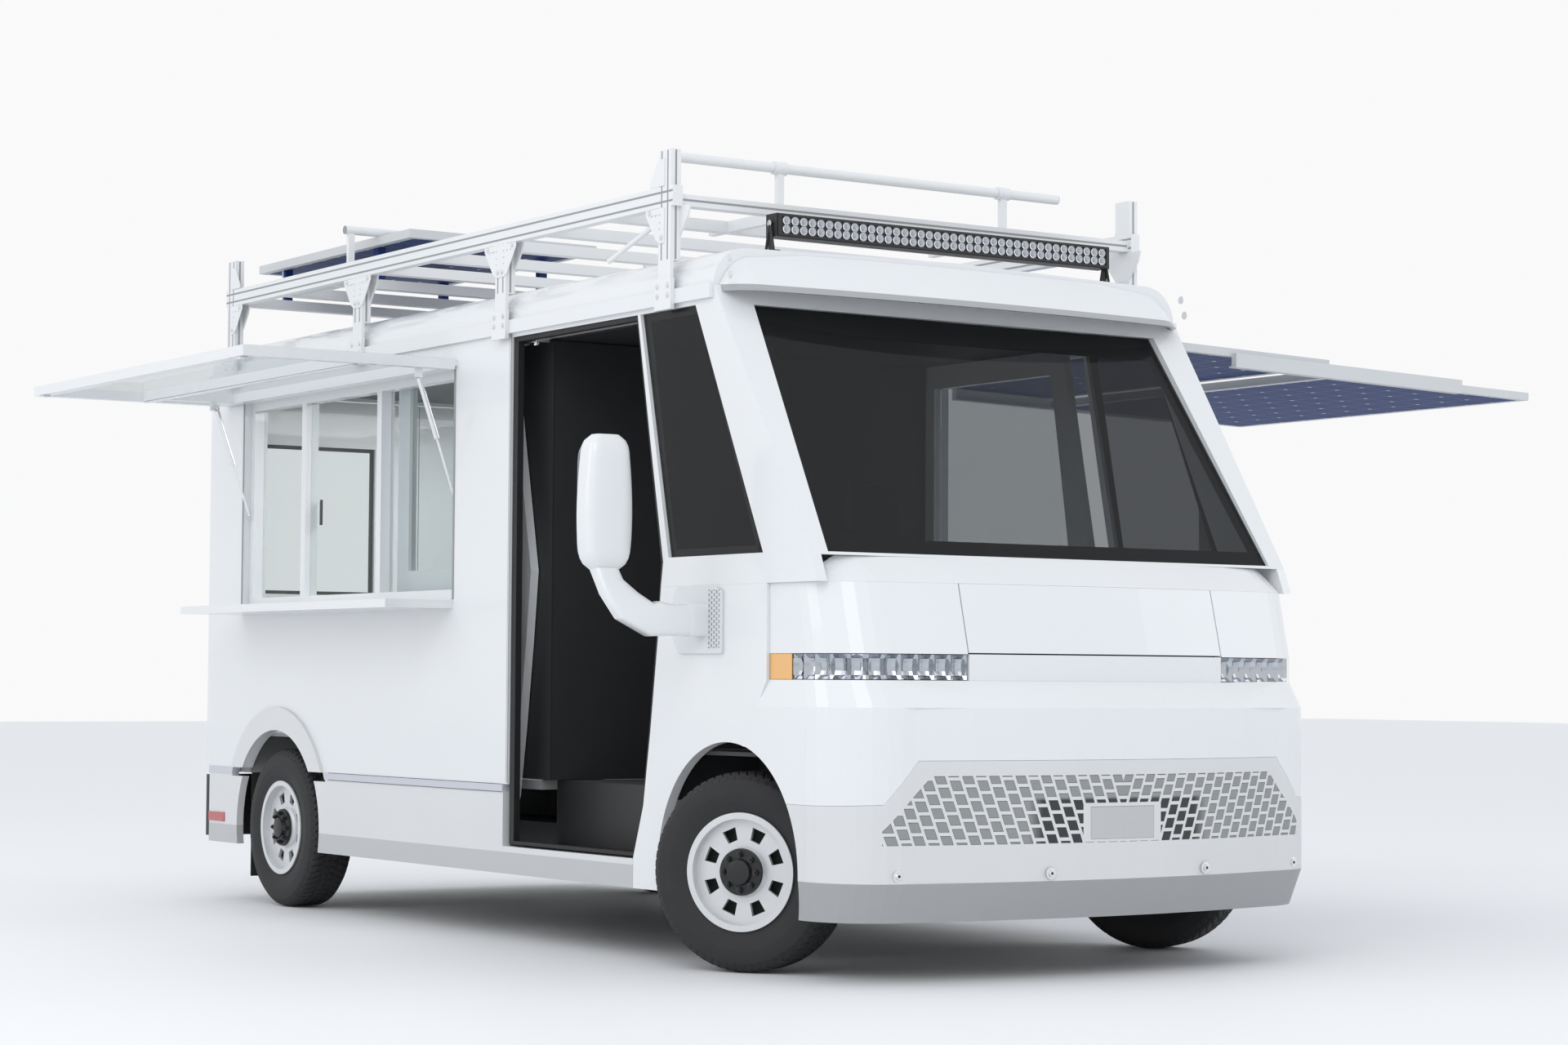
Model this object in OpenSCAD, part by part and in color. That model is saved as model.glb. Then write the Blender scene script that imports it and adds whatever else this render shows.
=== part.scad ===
// Food truck: step van body with serving hatch, roof rack and fold-out solar canopy.
// Built with the front axle at Y = 0, front towards -Y, serving side towards -X, ground at Z = 0,
// then moved so that the origin is the middle of the whole part's footprint.

/* [Overall] */
// Width over the body sides
body_w = 2270; // [2000:10:2500]
// Front axle to rear axle
wheelbase = 3880; // [3500:10:4600]
// Rear axle to the rear face of the body
rear_overhang = 840; // [700:10:1100]
// Front axle to the foremost point of the bumper
front_overhang = 970; // [900:10:1100]
// Top of the roof above the ground
roof_h = 2740; // [2650:10:3200]
// Top of the cargo floor above the ground
floor_h = 660; // [600:10:720]
// Underside of the sills above the ground
sill_h = 275; // [220:5:320]
// Thickness of walls, pillars and roof
wall = 40; // [25:1:50]

/* [Wheels] */
// Outside diameter of the tyres
tyre_d = 744; // [680:2:780]
// Width of the tyres
tyre_w = 225; // [185:5:235]
// Diameter over the rim flanges
rim_d = 440; // [400:2:460]
// Distance between the tyre centres of one axle
track = 2030; // [1960:10:2040]
// Inward step from tyre centre to kingpin
kingpin_inset = 60; // [50:1:70]
// Angle that the front wheels are turned to the left at rest
steer_rest = 30; // [0:1:30]
// Radius of the wheel spindles
spindle_r = 30; // [20:1:35]

/* [Serving side] */
// Front end of the serving opening behind the front axle
hatch_front = 2140; // [2000:10:2400]
// Length of the serving opening
hatch_len = 2180; // [1600:10:2200]
// Bottom of the serving opening
hatch_bottom = 1420; // [1200:10:1500]
// Top of the serving opening
hatch_top = 2420; // [2300:10:2440]
// Reach of the awning from its hinge
awning_reach = 985; // [800:5:990]
// Thickness of the awning frame
awning_t = 45; // [30:1:50]
// Reach of the serving shelf from the wall
shelf_reach = 320; // [200:5:340]
// Thickness of the serving shelf
shelf_t = 38; // [25:1:45]

/* [Rack and canopy] */
// Underside of the rack beams above the ground
rack_h = 2900; // [2860:10:3300]
// Height of the rack beams
beam_h = 80; // [60:5:100]
// Width of the rack beams and posts
beam_w = 45; // [40:1:60]
// Top of the corner posts above the ground
post_top = 3122; // [3100:2:3400]
// Reach of the inner canopy panel
canopy_in = 1000; // [800:10:1100]
// Reach of the outer canopy panel
canopy_out = 1240; // [1000:10:1300]
// Length of the canopy panels along the truck
canopy_len = 1970; // [1500:10:2000]
// Thickness of the solar panels
panel_t = 35; // [30:1:42]
// Downward tilt of the canopy
canopy_tilt = 1.6; // [0:0.1:5]

/* [Hidden] */

half_w = body_w / 2;
inner_x = half_w - wall;
rear_y = wheelbase + rear_overhang;
axle_z = tyre_d / 2;
gap = 5;            // air round anything that moves
seam = 0.3;         // gap between fixed panels
touch = 0.3;        // running clearance of a slide or a hinge
fit = 0.05;         // radial clearance of a pin in its bore

// Heights that several panels share
eave_z = 2570;      // side walls end and the roof begins
belt_z = 1534;      // foot of the glass
hood_z = 1437;      // top edge of the hood
lamp_top = 1180;    // top of the headlamp band
lamp_bottom = 1085; // bottom of the headlamp band
strip_z = 612;      // underside of the grey strip along the sills
strip_h = 33;
step_z = 390;       // tread of the cab step

// Lengthwise places
door_rear = 1630;   // rear edge of the cab door opening
wall_front = 1632;  // front end of the cargo walls
nose_seam = -310;   // seam between fender and nose
arch_front = -45;   // centre of the front wheel arch
arch_front_r = 480;
arch_rear = wheelbase + 10;
arch_rear_r = 460;
flare_r = 570;
post_y = [380, 1690, 3040, 4440];

// Whole extents, which place the origin
awning_hinge_x = -(half_w + 10);
awning_hinge_z = 2410;
canopy_hinge_x = half_w + 55;
canopy_hinge_z = 2531;
reach_right = -awning_hinge_x + awning_reach;
reach_left = canopy_hinge_x + (canopy_in + canopy_out + 10) * cos(canopy_tilt);
hinge_stand = 22;   // how far the rear door hinges stand behind the body
shift = [(reach_right - reach_left) / 2, (front_overhang - rear_y - hinge_stand) / 2, 0];

// ---------- helpers ----------
module block(a, b) { translate(a) cube(b - a); }
// outline in [y, z], drawn between two x values
module side_slab(x0, x1) { translate([x0, 0, 0]) rotate([90, 0, 90]) linear_extrude(x1 - x0) children(); }
// outline in [x, z], drawn between two y values
module front_slab(y0, y1) { translate([0, y1, 0]) rotate([90, 0, 0]) linear_extrude(y1 - y0) children(); }
module plan_slab(z0, z1) { translate([0, 0, z0]) linear_extrude(z1 - z0) children(); }
module both() { children(); mirror([1, 0, 0]) children(); }
module xrod(x0, x1, r, y = 0, z = 0) {
    translate([x0, y, z]) rotate([0, 90, 0]) cylinder(h = x1 - x0, r = r, $fn = 48);
}
module yrod(y0, y1, r, x = 0, z = 0) {
    translate([x, y0, z]) rotate([-90, 0, 0]) cylinder(h = y1 - y0, r = r, $fn = 48);
}
function arc(c, r, a0, a1, n) =
    [for (i = [0:n]) let (a = a0 + (a1 - a0) * i / n) [c[0] + r * cos(a), c[1] + r * sin(a)]];
module placed() { translate(shift) children(); }

// Plan outline of the nose: straight flanks, round corners and a bowed front
// w: half width, y: foremost point, r: corner radius, bow: how far the front falls back at the corners
function nose_pts(w, y, r, bow, back) = concat(
    [[-w, back]],
    arc([-w + r, y + bow + r], r, 180, 270, 8),
    [for (i = [-3:3]) let (x = (w - r) * i / 4) [x, y + bow * pow(i / 4, 2)]],
    arc([w - r, y + bow + r], r, 270, 360, 8),
    [[w, back]]);
module nose_band(z0, z1, lo, hi, back) {
    hull() {
        plan_slab(z0, z0 + 0.1) polygon(nose_pts(lo[0], lo[1], lo[2], lo[3], back));
        plan_slab(z1 - 0.1, z1) polygon(nose_pts(hi[0], hi[1], hi[2], hi[3], back));
    }
}
function inset(s, t) = [s[0] - t, s[1] + t, s[2] - t, s[3]];
module nose_ring(s, t, back) difference() {
    polygon(nose_pts(s[0], s[1], s[2], s[3], back));
    polygon(nose_pts(s[0] - t, s[1] + t, s[2] - t, s[3], back + 1));
}
module nose_shell(z0, z1, lo, hi, t, back = nose_seam) {
    if (lo == hi) plan_slab(z0, z1) nose_ring(lo, t, back);
    else difference() {
        nose_band(z0, z1, lo, hi, back);
        translate([0, 0, -1]) nose_band(z0, z1 + 2, inset(lo, t), inset(hi, t), back + 1);
    }
}
nose_t = 35;
bumper_face = [half_w + 5, -front_overhang, 280, 110];
bumper_foot = [half_w - 15, -front_overhang + 70, 260, 100];
lamp_line = [half_w - 13, -front_overhang + 115, 250, 60];
hood_line = [half_w - 13, -front_overhang + 180, 240, 60];

// ---------- chassis ----------
rail_x = 380;       // inner face of the frame rails
rail_w = 80;
rail_z = 470;       // underside of the rails
rail_top = floor_h - wall;
module frame_rails() color("dimgray") placed() {
    both() block([rail_x, -560, rail_z], [rail_x + rail_w, rear_y - 60, rail_top]);
    for (y = [-560, 700, 1500, 2300, 3000, rear_y - 140])
        block([-rail_x - 1, y, rail_z], [rail_x + 1, y + 80, rail_top]);
}
module battery_pack() color("dimgray") placed() block([-800, 1000, 290], [800, 2950, rail_z]);

kingpin_x = track / 2 - kingpin_inset;
pin_r = 14;
ear_in = [76, 99];  // ears start and end this far above and below the axle
module front_axle() color("dimgray") placed() difference() {
    union() {
        block([-430, -120, axle_z - 42], [430, 120, rail_z]);
        both() {
            block([425, -50, axle_z - 42], [kingpin_x - 70, 50, axle_z + 42]);
            block([kingpin_x - 95, -45, axle_z - ear_in[1]], [kingpin_x - 70, 45, axle_z + ear_in[1]]);
            for (s = [-1, 1])
                block([kingpin_x - 71, -40, axle_z + s * ear_in[0] - (s < 0 ? 23 : 0)],
                    [kingpin_x + 30, 40, axle_z + s * ear_in[0] + (s < 0 ? 0 : 23)]);
        }
    }
    both() translate([kingpin_x, 0, axle_z - 200]) cylinder(h = 400, r = pin_r + fit, $fn = 48);
}
// s is -1 on the right and 1 on the left; both turn the same way
module steered(s) {
    translate([s * kingpin_x, 0, 0]) rotate([0, 0, steer_rest]) children();
}
module knuckle(s) color("dimgray") placed() steered(s) {
    translate([0, 0, axle_z - 73]) cylinder(h = 146, r = 42, $fn = 48);
    translate([0, 0, axle_z - 97]) cylinder(h = 194, r = pin_r, $fn = 48);
    xrod(s > 0 ? 0 : -kingpin_inset - 60, s > 0 ? kingpin_inset + 60 : 0, spindle_r, 0, axle_z);
}
module rear_axle() color("dimgray") placed() translate([0, wheelbase, 0]) {
    hub_in = track / 2 - 20;
    xrod(-hub_in, hub_in, 55, 0, axle_z);
    xrod(-track / 2 - 60, track / 2 + 60, spindle_r, 0, axle_z);
    xrod(-170, 170, 150, 0, axle_z);
    both() block([rail_x + 10, -560, rail_z - 50], [rail_x + rail_w - 10, 560, rail_z]);
}

// ---------- wheels: drawn about the origin with the outer side towards +X ----------
barrel_r = rim_d / 2 - 14.3;
module rim_shape() difference() {
    union() {
        rotate([0, 90, 0]) rotate_extrude($fn = 96) polygon([
            [barrel_r - 9, -106], [rim_d / 2, -106], [rim_d / 2, -99], [barrel_r, -98],
            [barrel_r, 98], [rim_d / 2, 99], [rim_d / 2, 106], [barrel_r - 9, 106],
            [barrel_r - 9, 72], [95, 72], [80, 88], [0, 88], [0, 64], [spindle_r + fit, 64],
            [spindle_r + fit, -8], [75, -8], [75, 58], [barrel_r - 9, 58]]);
    }
    for (i = [0:7]) rotate([i * 45 + 22.5, 0, 0]) translate([0, 0, 0]) side_slab(50, 90)
        polygon([[-20, 118], [20, 118], [29, 166], [-29, 166]]);
}
module tyre_shape() rotate([0, 90, 0]) rotate_extrude($fn = 96) polygon([
    [barrel_r + 0.3, -97], [rim_d / 2 + 4, -97], [tyre_d / 2 - 80, -tyre_w / 2],
    [tyre_d / 2 - 30, -tyre_w / 2 + 6], [tyre_d / 2 - 7, -tyre_w / 2 + 24], [tyre_d / 2, -tyre_w / 2 + 42],
    [tyre_d / 2, tyre_w / 2 - 42], [tyre_d / 2 - 7, tyre_w / 2 - 24], [tyre_d / 2 - 30, tyre_w / 2 - 6],
    [tyre_d / 2 - 80, tyre_w / 2], [rim_d / 2 + 4, 97], [barrel_r + 0.3, 97]]);
module at_front(s) placed() steered(s) translate([s * kingpin_inset, 0, axle_z]) rotate([0, 0, s < 0 ? 180 : 0]) children();
module at_rear(s) placed() translate([s * track / 2, wheelbase, axle_z]) rotate([0, 0, s < 0 ? 180 : 0]) children();

// ---------- floors ----------
door_x = [985, 1022];  // inner and outer face of the sliding cab doors
riser_x = 900;
well_x = 670;          // inner side of the wheel houses
well_t = 15;
well_top = 815;
module wheel_well(y0, y1, x0, x1) difference() {
    block([x0, y0, floor_h - wall], [x1, y1, well_top]);
    block([x0 + well_t, y0 + well_t, 0], [x1 + 1, y1 - well_t, well_top - well_t]);
}
module cab_floor() color("dimgray") placed() {
    block([-well_x, -500, floor_h - wall], [well_x, 455, floor_h]);
    block([-riser_x, 454, floor_h - wall], [riser_x, door_rear - 1, floor_h]);
    both() {
        wheel_well(-470, 455, well_x - well_t, inner_x - 2);
        block([riser_x - 20, 500, step_z - 20], [riser_x, door_rear - 1, floor_h]);
        block([riser_x - 1, 560, step_z - 20], [inner_x - 2, door_rear - 1, step_z]);
    }
}
pocket_end = 3000;     // the cab doors slide this far back inside the walls
module cargo_floor() color("gainsboro") placed() {
    rear_well = [wheelbase - 420, wheelbase + 420];
    difference() {
        union() {
            block([-door_x[0] + gap, door_rear, floor_h - wall], [door_x[0] - gap, rear_y - wall - 1, floor_h]);
            both() block([900, pocket_end, floor_h - wall], [inner_x, rear_y - wall - 1, floor_h]);
        }
        both() block([850, rear_well[0], 0], [half_w, rear_well[1], floor_h + 1]);
    }
    both() wheel_well(rear_well[0], rear_well[1], 850 - well_t, inner_x - 1);
}

// ---------- cargo body ----------
module arch_hole(y, r) { translate([0, y, axle_z]) rotate([0, 90, 0]) cylinder(h = 4000, r = r, center = true, $fn = 96); }
wall_foot = strip_z + strip_h;
module side_wall(s) color("white") placed() mirror([s < 0 ? 1 : 0, 0, 0]) {
    difference() {
        block([inner_x, wall_front, wall_foot], [half_w, rear_y - wall, eave_z]);
        arch_hole(arch_rear, arch_rear_r);
        if (s < 0) block([0, hatch_front, hatch_bottom], [half_w + 9, hatch_front + hatch_len, hatch_top]);
    }
    block([door_x[0] - 10, wall_front, track_z], [inner_x + 1, pocket_end, track_z + 25]);
    if (s < 0) {
        block([half_w - 1, awning_y[0], hatch_top + 5], [-awning_hinge_x - touch, awning_y[1], hatch_top + 30]);
        for (i = [0, 1]) yrod(strut_y[i] - strut_side[i] * 12 + (i == 0 ? 0 : -26), strut_y[i] - strut_side[i] * 12 + (i == 0 ? 26 : 0),
            4, strut_post[0], strut_post[1]);
    }
}
roof_r = roof_h - 20 - eave_z;
function roof_pts(t) = concat(
    arc([-half_w + roof_r, eave_z], roof_r - t, 180, 90, 10), [[0, roof_h - t]],
    arc([half_w - roof_r, eave_z], roof_r - t, 90, 0, 10));
roof_front = 70;
gutter_z = [2522, 2578];
gutter_out = 18;
module roof() color("white") placed() {
    difference() {
        front_slab(roof_front, rear_y) polygon(roof_pts(0));
        front_slab(roof_front + wall, rear_y - wall) translate([0, -1]) polygon(roof_pts(wall));
    }
    both() {
        block([half_w, roof_front, gutter_z[0]], [half_w + gutter_out, rear_y, gutter_z[1]]);
        block([inner_x + 1, roof_front, eave_z], [half_w + gutter_out, rear_y, gutter_z[1]]);
    }
    for (y = [520, 2000]) block([half_w + gutter_out - 1, y, gutter_z[0]], 
        [canopy_hinge_x - (canopy_hinge_z - gutter_z[0]) * sin(canopy_tilt) - touch, y + 60, gutter_z[0] + 40]);
}
portal_x = 1075;       // half width of the rear opening
portal_z = [685, 2490];
hinge_y = rear_y + 12;
hinge_z = [850, 1590, 2330];
module rear_frame() color("white") placed() {
    difference() {
        block([-half_w, rear_y - wall, wall_foot], [half_w, rear_y, eave_z]);
        block([-portal_x, rear_y - wall - 1, portal_z[0]], [portal_x, rear_y + 1, portal_z[1]]);
    }
    both() for (z = hinge_z, e = [30 + touch, -55 - touch]) {
        translate([portal_x + 12, hinge_y, z + e]) cylinder(h = 25, r = 10, $fn = 32);
        block([portal_x + 12, rear_y - 1, z + e], [portal_x + 22, hinge_y, z + e + 25]);
    }
}
module rear_door(s) color("white") placed() mirror([s < 0 ? 1 : 0, 0, 0]) difference() {
    union() {
        block([gap / 2, rear_y - wall + 2, portal_z[0] + gap], [portal_x - gap, rear_y, portal_z[1] - gap]);
        for (z = hinge_z) {
            block([portal_x - 120, rear_y - 1, z - 30], [portal_x - 10, rear_y + 6, z + 30]);
            block([portal_x - 11, rear_y + 1, z - 30], [portal_x + 12, rear_y + 6, z + 30]);
            translate([portal_x + 12, hinge_y, z - 30]) cylinder(h = 60, r = 10, $fn = 32);
        }
    }
    block([250, rear_y - 60, 1500], [portal_x - 200, rear_y + 60, 2250]);
}
hitch = [140, 80, 6.5];   // tow bar holes: spacing across, spacing up, radius
module rear_bumper() color("gainsboro") placed() {
    difference() {
        block([-half_w + 10, rear_y - 30, 300], [half_w - 10, rear_y + 20, 600]);
        for (x = [-hitch[0] / 2, hitch[0] / 2], z = [-hitch[1] / 2, hitch[1] / 2]) yrod(rear_y - 40, rear_y + 30, hitch[2], x, 450 + z);
    }
    both() block([rail_x, rear_y - 60 + seam, rail_z], [rail_x + rail_w, rear_y - 29, rail_top - 25]);
}
module rear_lamps() color("firebrick") placed() both()
    block([portal_x + 28, rear_y + seam, 900], [half_w - 8, rear_y + 15, 1300]);

// ---------- cab ----------
// front edge of the door opening and of the cab doors, from top to bottom, in [y, z]
door_edge = [[620, 2505], [520, 2020], [415, belt_z], [450, 1236], [500, 880], [548, 595], [620, 392]];
glass_lean = (2528 - belt_z) / (66 + 583);
module cab_side(front, top) polygon(concat([[front, hood_z], [front + 40, belt_z], [30, 2515], [60, top],
    [door_rear, top], [door_rear, 2506]], [for (p = door_edge) if (p[1] > hood_z) p], [[430, hood_z]]));
track_z = 2505 + touch;   // underside of the rail that carries the cab doors
window_pts = [[-342 + 60, belt_z + 15], [196, 2505], [600, 2505], [376, belt_z + 15]];
module cab_frame() color("white") placed() {
    difference() {
        side_slab(-half_w, half_w) cab_side(-640, eave_z);
        side_slab(-inner_x, inner_x) polygon([[-700 + wall + 70, hood_z - 1], [-535 , belt_z], [110, 2515], [110, 2600],
            [door_rear + 1, 2600], [door_rear + 1, hood_z - 1]]);
        side_slab(-half_w - 1, half_w + 1) polygon(window_pts);
        front_slab(-700, 140) polygon([[-1060, belt_z + 12], [-985, 2500], [985, 2500], [1060, belt_z + 12]]);
        block([-inner_x, -900, hood_z - 1], [inner_x, -500, belt_z + 1]);
    }
    both() block([door_x[0] - 10, 420, track_z], [inner_x + 1, door_rear, track_z + 25]);
}
fender_front = [[nose_seam + seam, hood_z - seam], [nose_seam + seam, lamp_bottom], [-150 + seam, 815]];
module fenders() color("white") placed() both() difference() {
    side_slab(inner_x, half_w) polygon(concat(fender_front, [[-150 + seam, sill_h], [620, sill_h], [620, 392]],
        [for (i = [5:-1:3]) door_edge[i]], [[430, hood_z - seam]]));
    arch_hole(arch_front, arch_front_r);
}
nose_cut_r = arch_front_r + 4;
hood_half = 600;
module front_corners() color("white") placed() difference() {
    nose_shell(lamp_top, hood_z - seam, lamp_line, hood_line, nose_t);
    block([-hood_half - gap, -1500, 0], [hood_half + gap, 0, 3000]);
}
module hood() color("white") placed() intersection() {
    nose_shell(lamp_top, hood_z - seam, lamp_line, hood_line, nose_t);
    block([-hood_half, -1500, lamp_top + gap], [hood_half, -500, hood_z - 2 * seam]);
}
module cowl() color("white") placed() difference() {
    nose_band(hood_z, belt_z - seam, hood_line, [half_w, -650, 240, 60], -200);
    block([-inner_x, -560, 0], [inner_x, 0, 3000]);
    both() side_slab(inner_x - 1, half_w + 20) offset(1) cab_side(-642, eave_z);
}
module centre_bar() color("white") placed() intersection() {
    nose_shell(lamp_bottom, lamp_top - seam, lamp_line, lamp_line, nose_t);
    block([-hood_half, -1500, 0], [hood_half, -500, 3000]);
}
module headlamps() color("lightsteelblue") placed() difference() {
    nose_shell(lamp_bottom, lamp_top - seam, lamp_line, lamp_line, nose_t + 15);
    block([-hood_half - seam, -1500, 0], [hood_half + seam, 0, 3000]);
}
lower_top = [630, 800];   // lower panel: height at the sides and on the middle plateau
module lower_region() polygon([[-1300, 0], [-1300, lower_top[0]], [-980, lower_top[0] + 15], [-850, lower_top[1]],
    [850, lower_top[1]], [980, lower_top[0] + 15], [1300, lower_top[0]], [1300, 0]]);
module bumper_shell() difference() {
    union() {
        nose_shell(lip_z[0], lip_z[1] + 0.05, bumper_foot, bumper_face, nose_t, -60);
        nose_shell(lip_z[1], shoulder_z, bumper_face, bumper_face, nose_t, -60);
        nose_shell(shoulder_z - 0.05, lamp_bottom - seam, bumper_face, lamp_line, nose_t, -60);
    }
    arch_hole(arch_front, nose_cut_r);
    side_slab(-2000, 2000) polygon([[nose_seam, 1200], [nose_seam, lamp_bottom], [-150, 815], [-150, 400], [400, 400], [400, 1200]]);
}
lip_z = [224, 366];     // the dark lip along the bottom
shoulder_z = 987;       // where the face turns in towards the lamps
module bumper_upper() color("white") placed() difference() { bumper_shell(); front_slab(-1500, 0) lower_region(); }
module bumper_lower() color("gainsboro") placed() {
    intersection() { bumper_shell(); front_slab(-1500, 0) translate([0, -1]) lower_region(); }
    both() block([rail_x, bumper_face[1] + nose_t - 1, rail_z + 20], [rail_x + rail_w, -561, rail_top - 20]);
}
module glass_strip(x0, x1, t) side_slab(x0, x1)
    polygon([[-583, belt_z + 3], [-583 + t, belt_z + 3], [62 + t, 2514], [62, 2514]]);
module windshield() color("darkslategray") placed() intersection() {
    glass_strip(-1100, 1100, 7);
    front_slab(-700, 140) polygon([[-1060 + seam, belt_z + 12 + seam], [-985 + seam, 2500 - seam],
        [985 - seam, 2500 - seam], [1060 - seam, belt_z + 12 + seam]]);
}
module quarter_windows() color("darkslategray") placed() both()
    side_slab(half_w - 20, half_w - 14) offset(-seam) polygon(window_pts);
visor_low = [half_w - 15, -110, 150, 50];
visor_high = [half_w - 40, 40, 130, 50];
module sun_visor() color("white") placed() difference() {
    nose_band(2545, 2712, visor_low, visor_high, 190);
    translate([0, 0, -13]) nose_band(2545, 2712, inset(visor_low, 14), inset(visor_high, 14), 191);
    side_slab(-2000, 2000) polygon([[roof_front - 2, 2400], [roof_front - 2, 2800], [400, 2800], [400, 2400]]);
    side_slab(-2000, 2000) offset(1) cab_side(-640, eave_z);
}
// sliding cab doors: open at rest on the serving side, shut on the driver's side
door_travel = 1240;
door_pane = [[560, 1560], [640, 2050], [700, 2400], [1540, 2400], [1540, 1560]];
module door_shape() difference() {
    side_slab(door_x[0], door_x[1]) polygon(concat([[1650, 2505]], door_edge, [[1650, 394 + 2]]));
    side_slab(door_x[0] - 1, door_x[1] + 1) polygon(door_pane);
}
module door_at(s) { placed() translate([0, s < 0 ? door_travel : 0, 0]) mirror([s < 0 ? 1 : 0, 0, 0]) children(); }
module pane_shape() side_slab(door_x[0] + 15, door_x[1] - 15) offset(-0.1) polygon(door_pane);
module mirrors() color("white") placed() both() {
    block([half_w, -20, 1180], [half_w + 14, 320, 1430]);
    block([half_w + 13, 60, 1265], [1480, 150, 1345]);
    block([1440, 70, 1264], [1520, 190, 1490]);
    translate([1525, 200, 1487]) linear_extrude(505) polygon(concat(arc([-70, -30], 30, 180, 270, 5),
        arc([70, -30], 30, 270, 360, 5), arc([70, 30], 30, 0, 90, 5), arc([-70, 30], 30, 90, 180, 5)));
}
module side_skirts() color("gainsboro") placed() both() difference() {
    union() {
        block([half_w - 35, 622, sill_h], [half_w, rear_y - wall, 388]);
        block([half_w - 35, wall_front + 40, 380], [half_w, rear_y - wall, strip_z + 1]);
        block([half_w - 35, wall_front + 40, strip_z], [half_w + 4, rear_y - wall, wall_foot]);
    }
    arch_hole(arch_rear, arch_rear_r);
    side_slab(-3000, 3000) intersection() {
        translate([arch_rear, axle_z]) circle(r = flare_r + 1, $fn = 96);
        translate([arch_rear - 700, strip_z - 10]) square([1400, 400]);
    }
}
module wheel_flares() color("white") placed() both() side_slab(half_w + 0.2, half_w + 16) difference() {
    translate([arch_rear, axle_z]) circle(r = flare_r, $fn = 96);
    translate([arch_rear, axle_z]) circle(r = arch_rear_r, $fn = 96);
    translate([arch_rear - 700, -700]) square([1400, 700 + wall_foot]);
}
module mud_flaps() color("black") placed() both()
    block([half_w - 260, arch_rear + 395, 120], [half_w - 50, arch_rear + 401, floor_h - wall]);
module dashboard() color("black") placed() {
    side_slab(-door_x[0] + 20, door_x[0] - 20) polygon([[-420, well_top + seam], [-420, 1330], [-120, 1290], [0, 1180], [-20, 1020], [-90, well_top + seam]]);
    translate([0, -40, 1090]) rotate([-62, 0, 0]) translate([450, 0, 0]) cylinder(h = 210, r = 35, $fn = 32);
}
module steering_wheel() color("black") placed() translate([0, -40, 1090]) rotate([-62, 0, 0]) translate([450, 0, 210]) {
    rotate_extrude($fn = 64) translate([205, 25]) circle(r = 14, $fn = 24);
    cylinder(h = 40, r = 60, $fn = 48);
    for (a = [0, 120, 240]) rotate([0, 0, a + 30]) translate([50, -18, 14]) cube([150, 36, 18]);
}
module driver_seat() color("black") placed() translate([450, 0, 0]) {
    block([-200, 700, floor_h], [200, 1100, 950]);
    block([-250, 640, 949], [250, 1150, 1060]);
    side_slab(-245, 245) polygon([[1080, 1059], [1190, 1059], [1290, 1720], [1200, 1720]]);
    side_slab(-140, 140) polygon([[1215, 1719], [1280, 1719], [1310, 1930], [1235, 1930]]);
}
module bulkhead() color("black") placed() difference() {
    block([-door_x[0] + 10, 1590, floor_h], [door_x[0] - 10, 1620, roof_h - 70]);
    block([-700, 1589, floor_h - 1], [-50, 1621, 2400]);
}

// ---------- serving hatch ----------
frame_x = [1035, inner_x + 5];     // inner and outer face of the window frame
hatch_rear = hatch_front + hatch_len;
bar = 45;
mullions = [0.362, 0.725];    // window posts as shares of the opening
module serving_window() color("white") placed() mirror([1, 0, 0]) difference() {
    block([frame_x[0], hatch_front + seam, hatch_bottom + seam], [frame_x[1], hatch_rear - seam, hatch_top - seam]);
    for (i = [0:2]) {
        y0 = hatch_front + (i == 0 ? bar : hatch_len * mullions[i - 1] + bar / 2);
        y1 = hatch_front + (i == 2 ? hatch_len - bar : hatch_len * mullions[i] - bar / 2);
        block([frame_x[0] - 1, y0, hatch_bottom + bar], [frame_x[1] + 1, y1, hatch_top - bar]);
    }
}
module serving_glass() color("lightsteelblue") placed() mirror([1, 0, 0]) for (i = [0:2]) {
    y0 = hatch_front + (i == 0 ? bar : hatch_len * mullions[i - 1] + bar / 2);
    y1 = hatch_front + (i == 2 ? hatch_len - bar : hatch_len * mullions[i] - bar / 2);
    x = frame_x[0] + 12 + (i % 2) * 20;
    block([x, y0 + 0.1, hatch_bottom + bar + 0.1], [x + 5, y1 - 0.1, hatch_top - bar - 0.1]);
}
module serving_shelf() color("white") placed() mirror([1, 0, 0]) {
    block([half_w + touch, hatch_front, hatch_bottom - shelf_t], [half_w + shelf_reach, hatch_rear, hatch_bottom - 2]);
}
strut_out = [153, -30];       // awning pin from the awning hinge, outwards and up
strut_post = [1114, 1853];    // jamb pin
strut_y = [hatch_front + 10, hatch_rear - 10];
strut_side = [1, -1];         // the struts hang inwards of their brackets
strut_pin_r = 5;
awning_y = [hatch_front - 20, hatch_rear + 200];
module awning_bar(x0, y0, x1, y1) block([x0, y0, awning_hinge_z], [x1, y1, awning_hinge_z + awning_t]);
awning_in = -awning_hinge_x;
awning_out = -awning_hinge_x + awning_reach;
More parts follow.
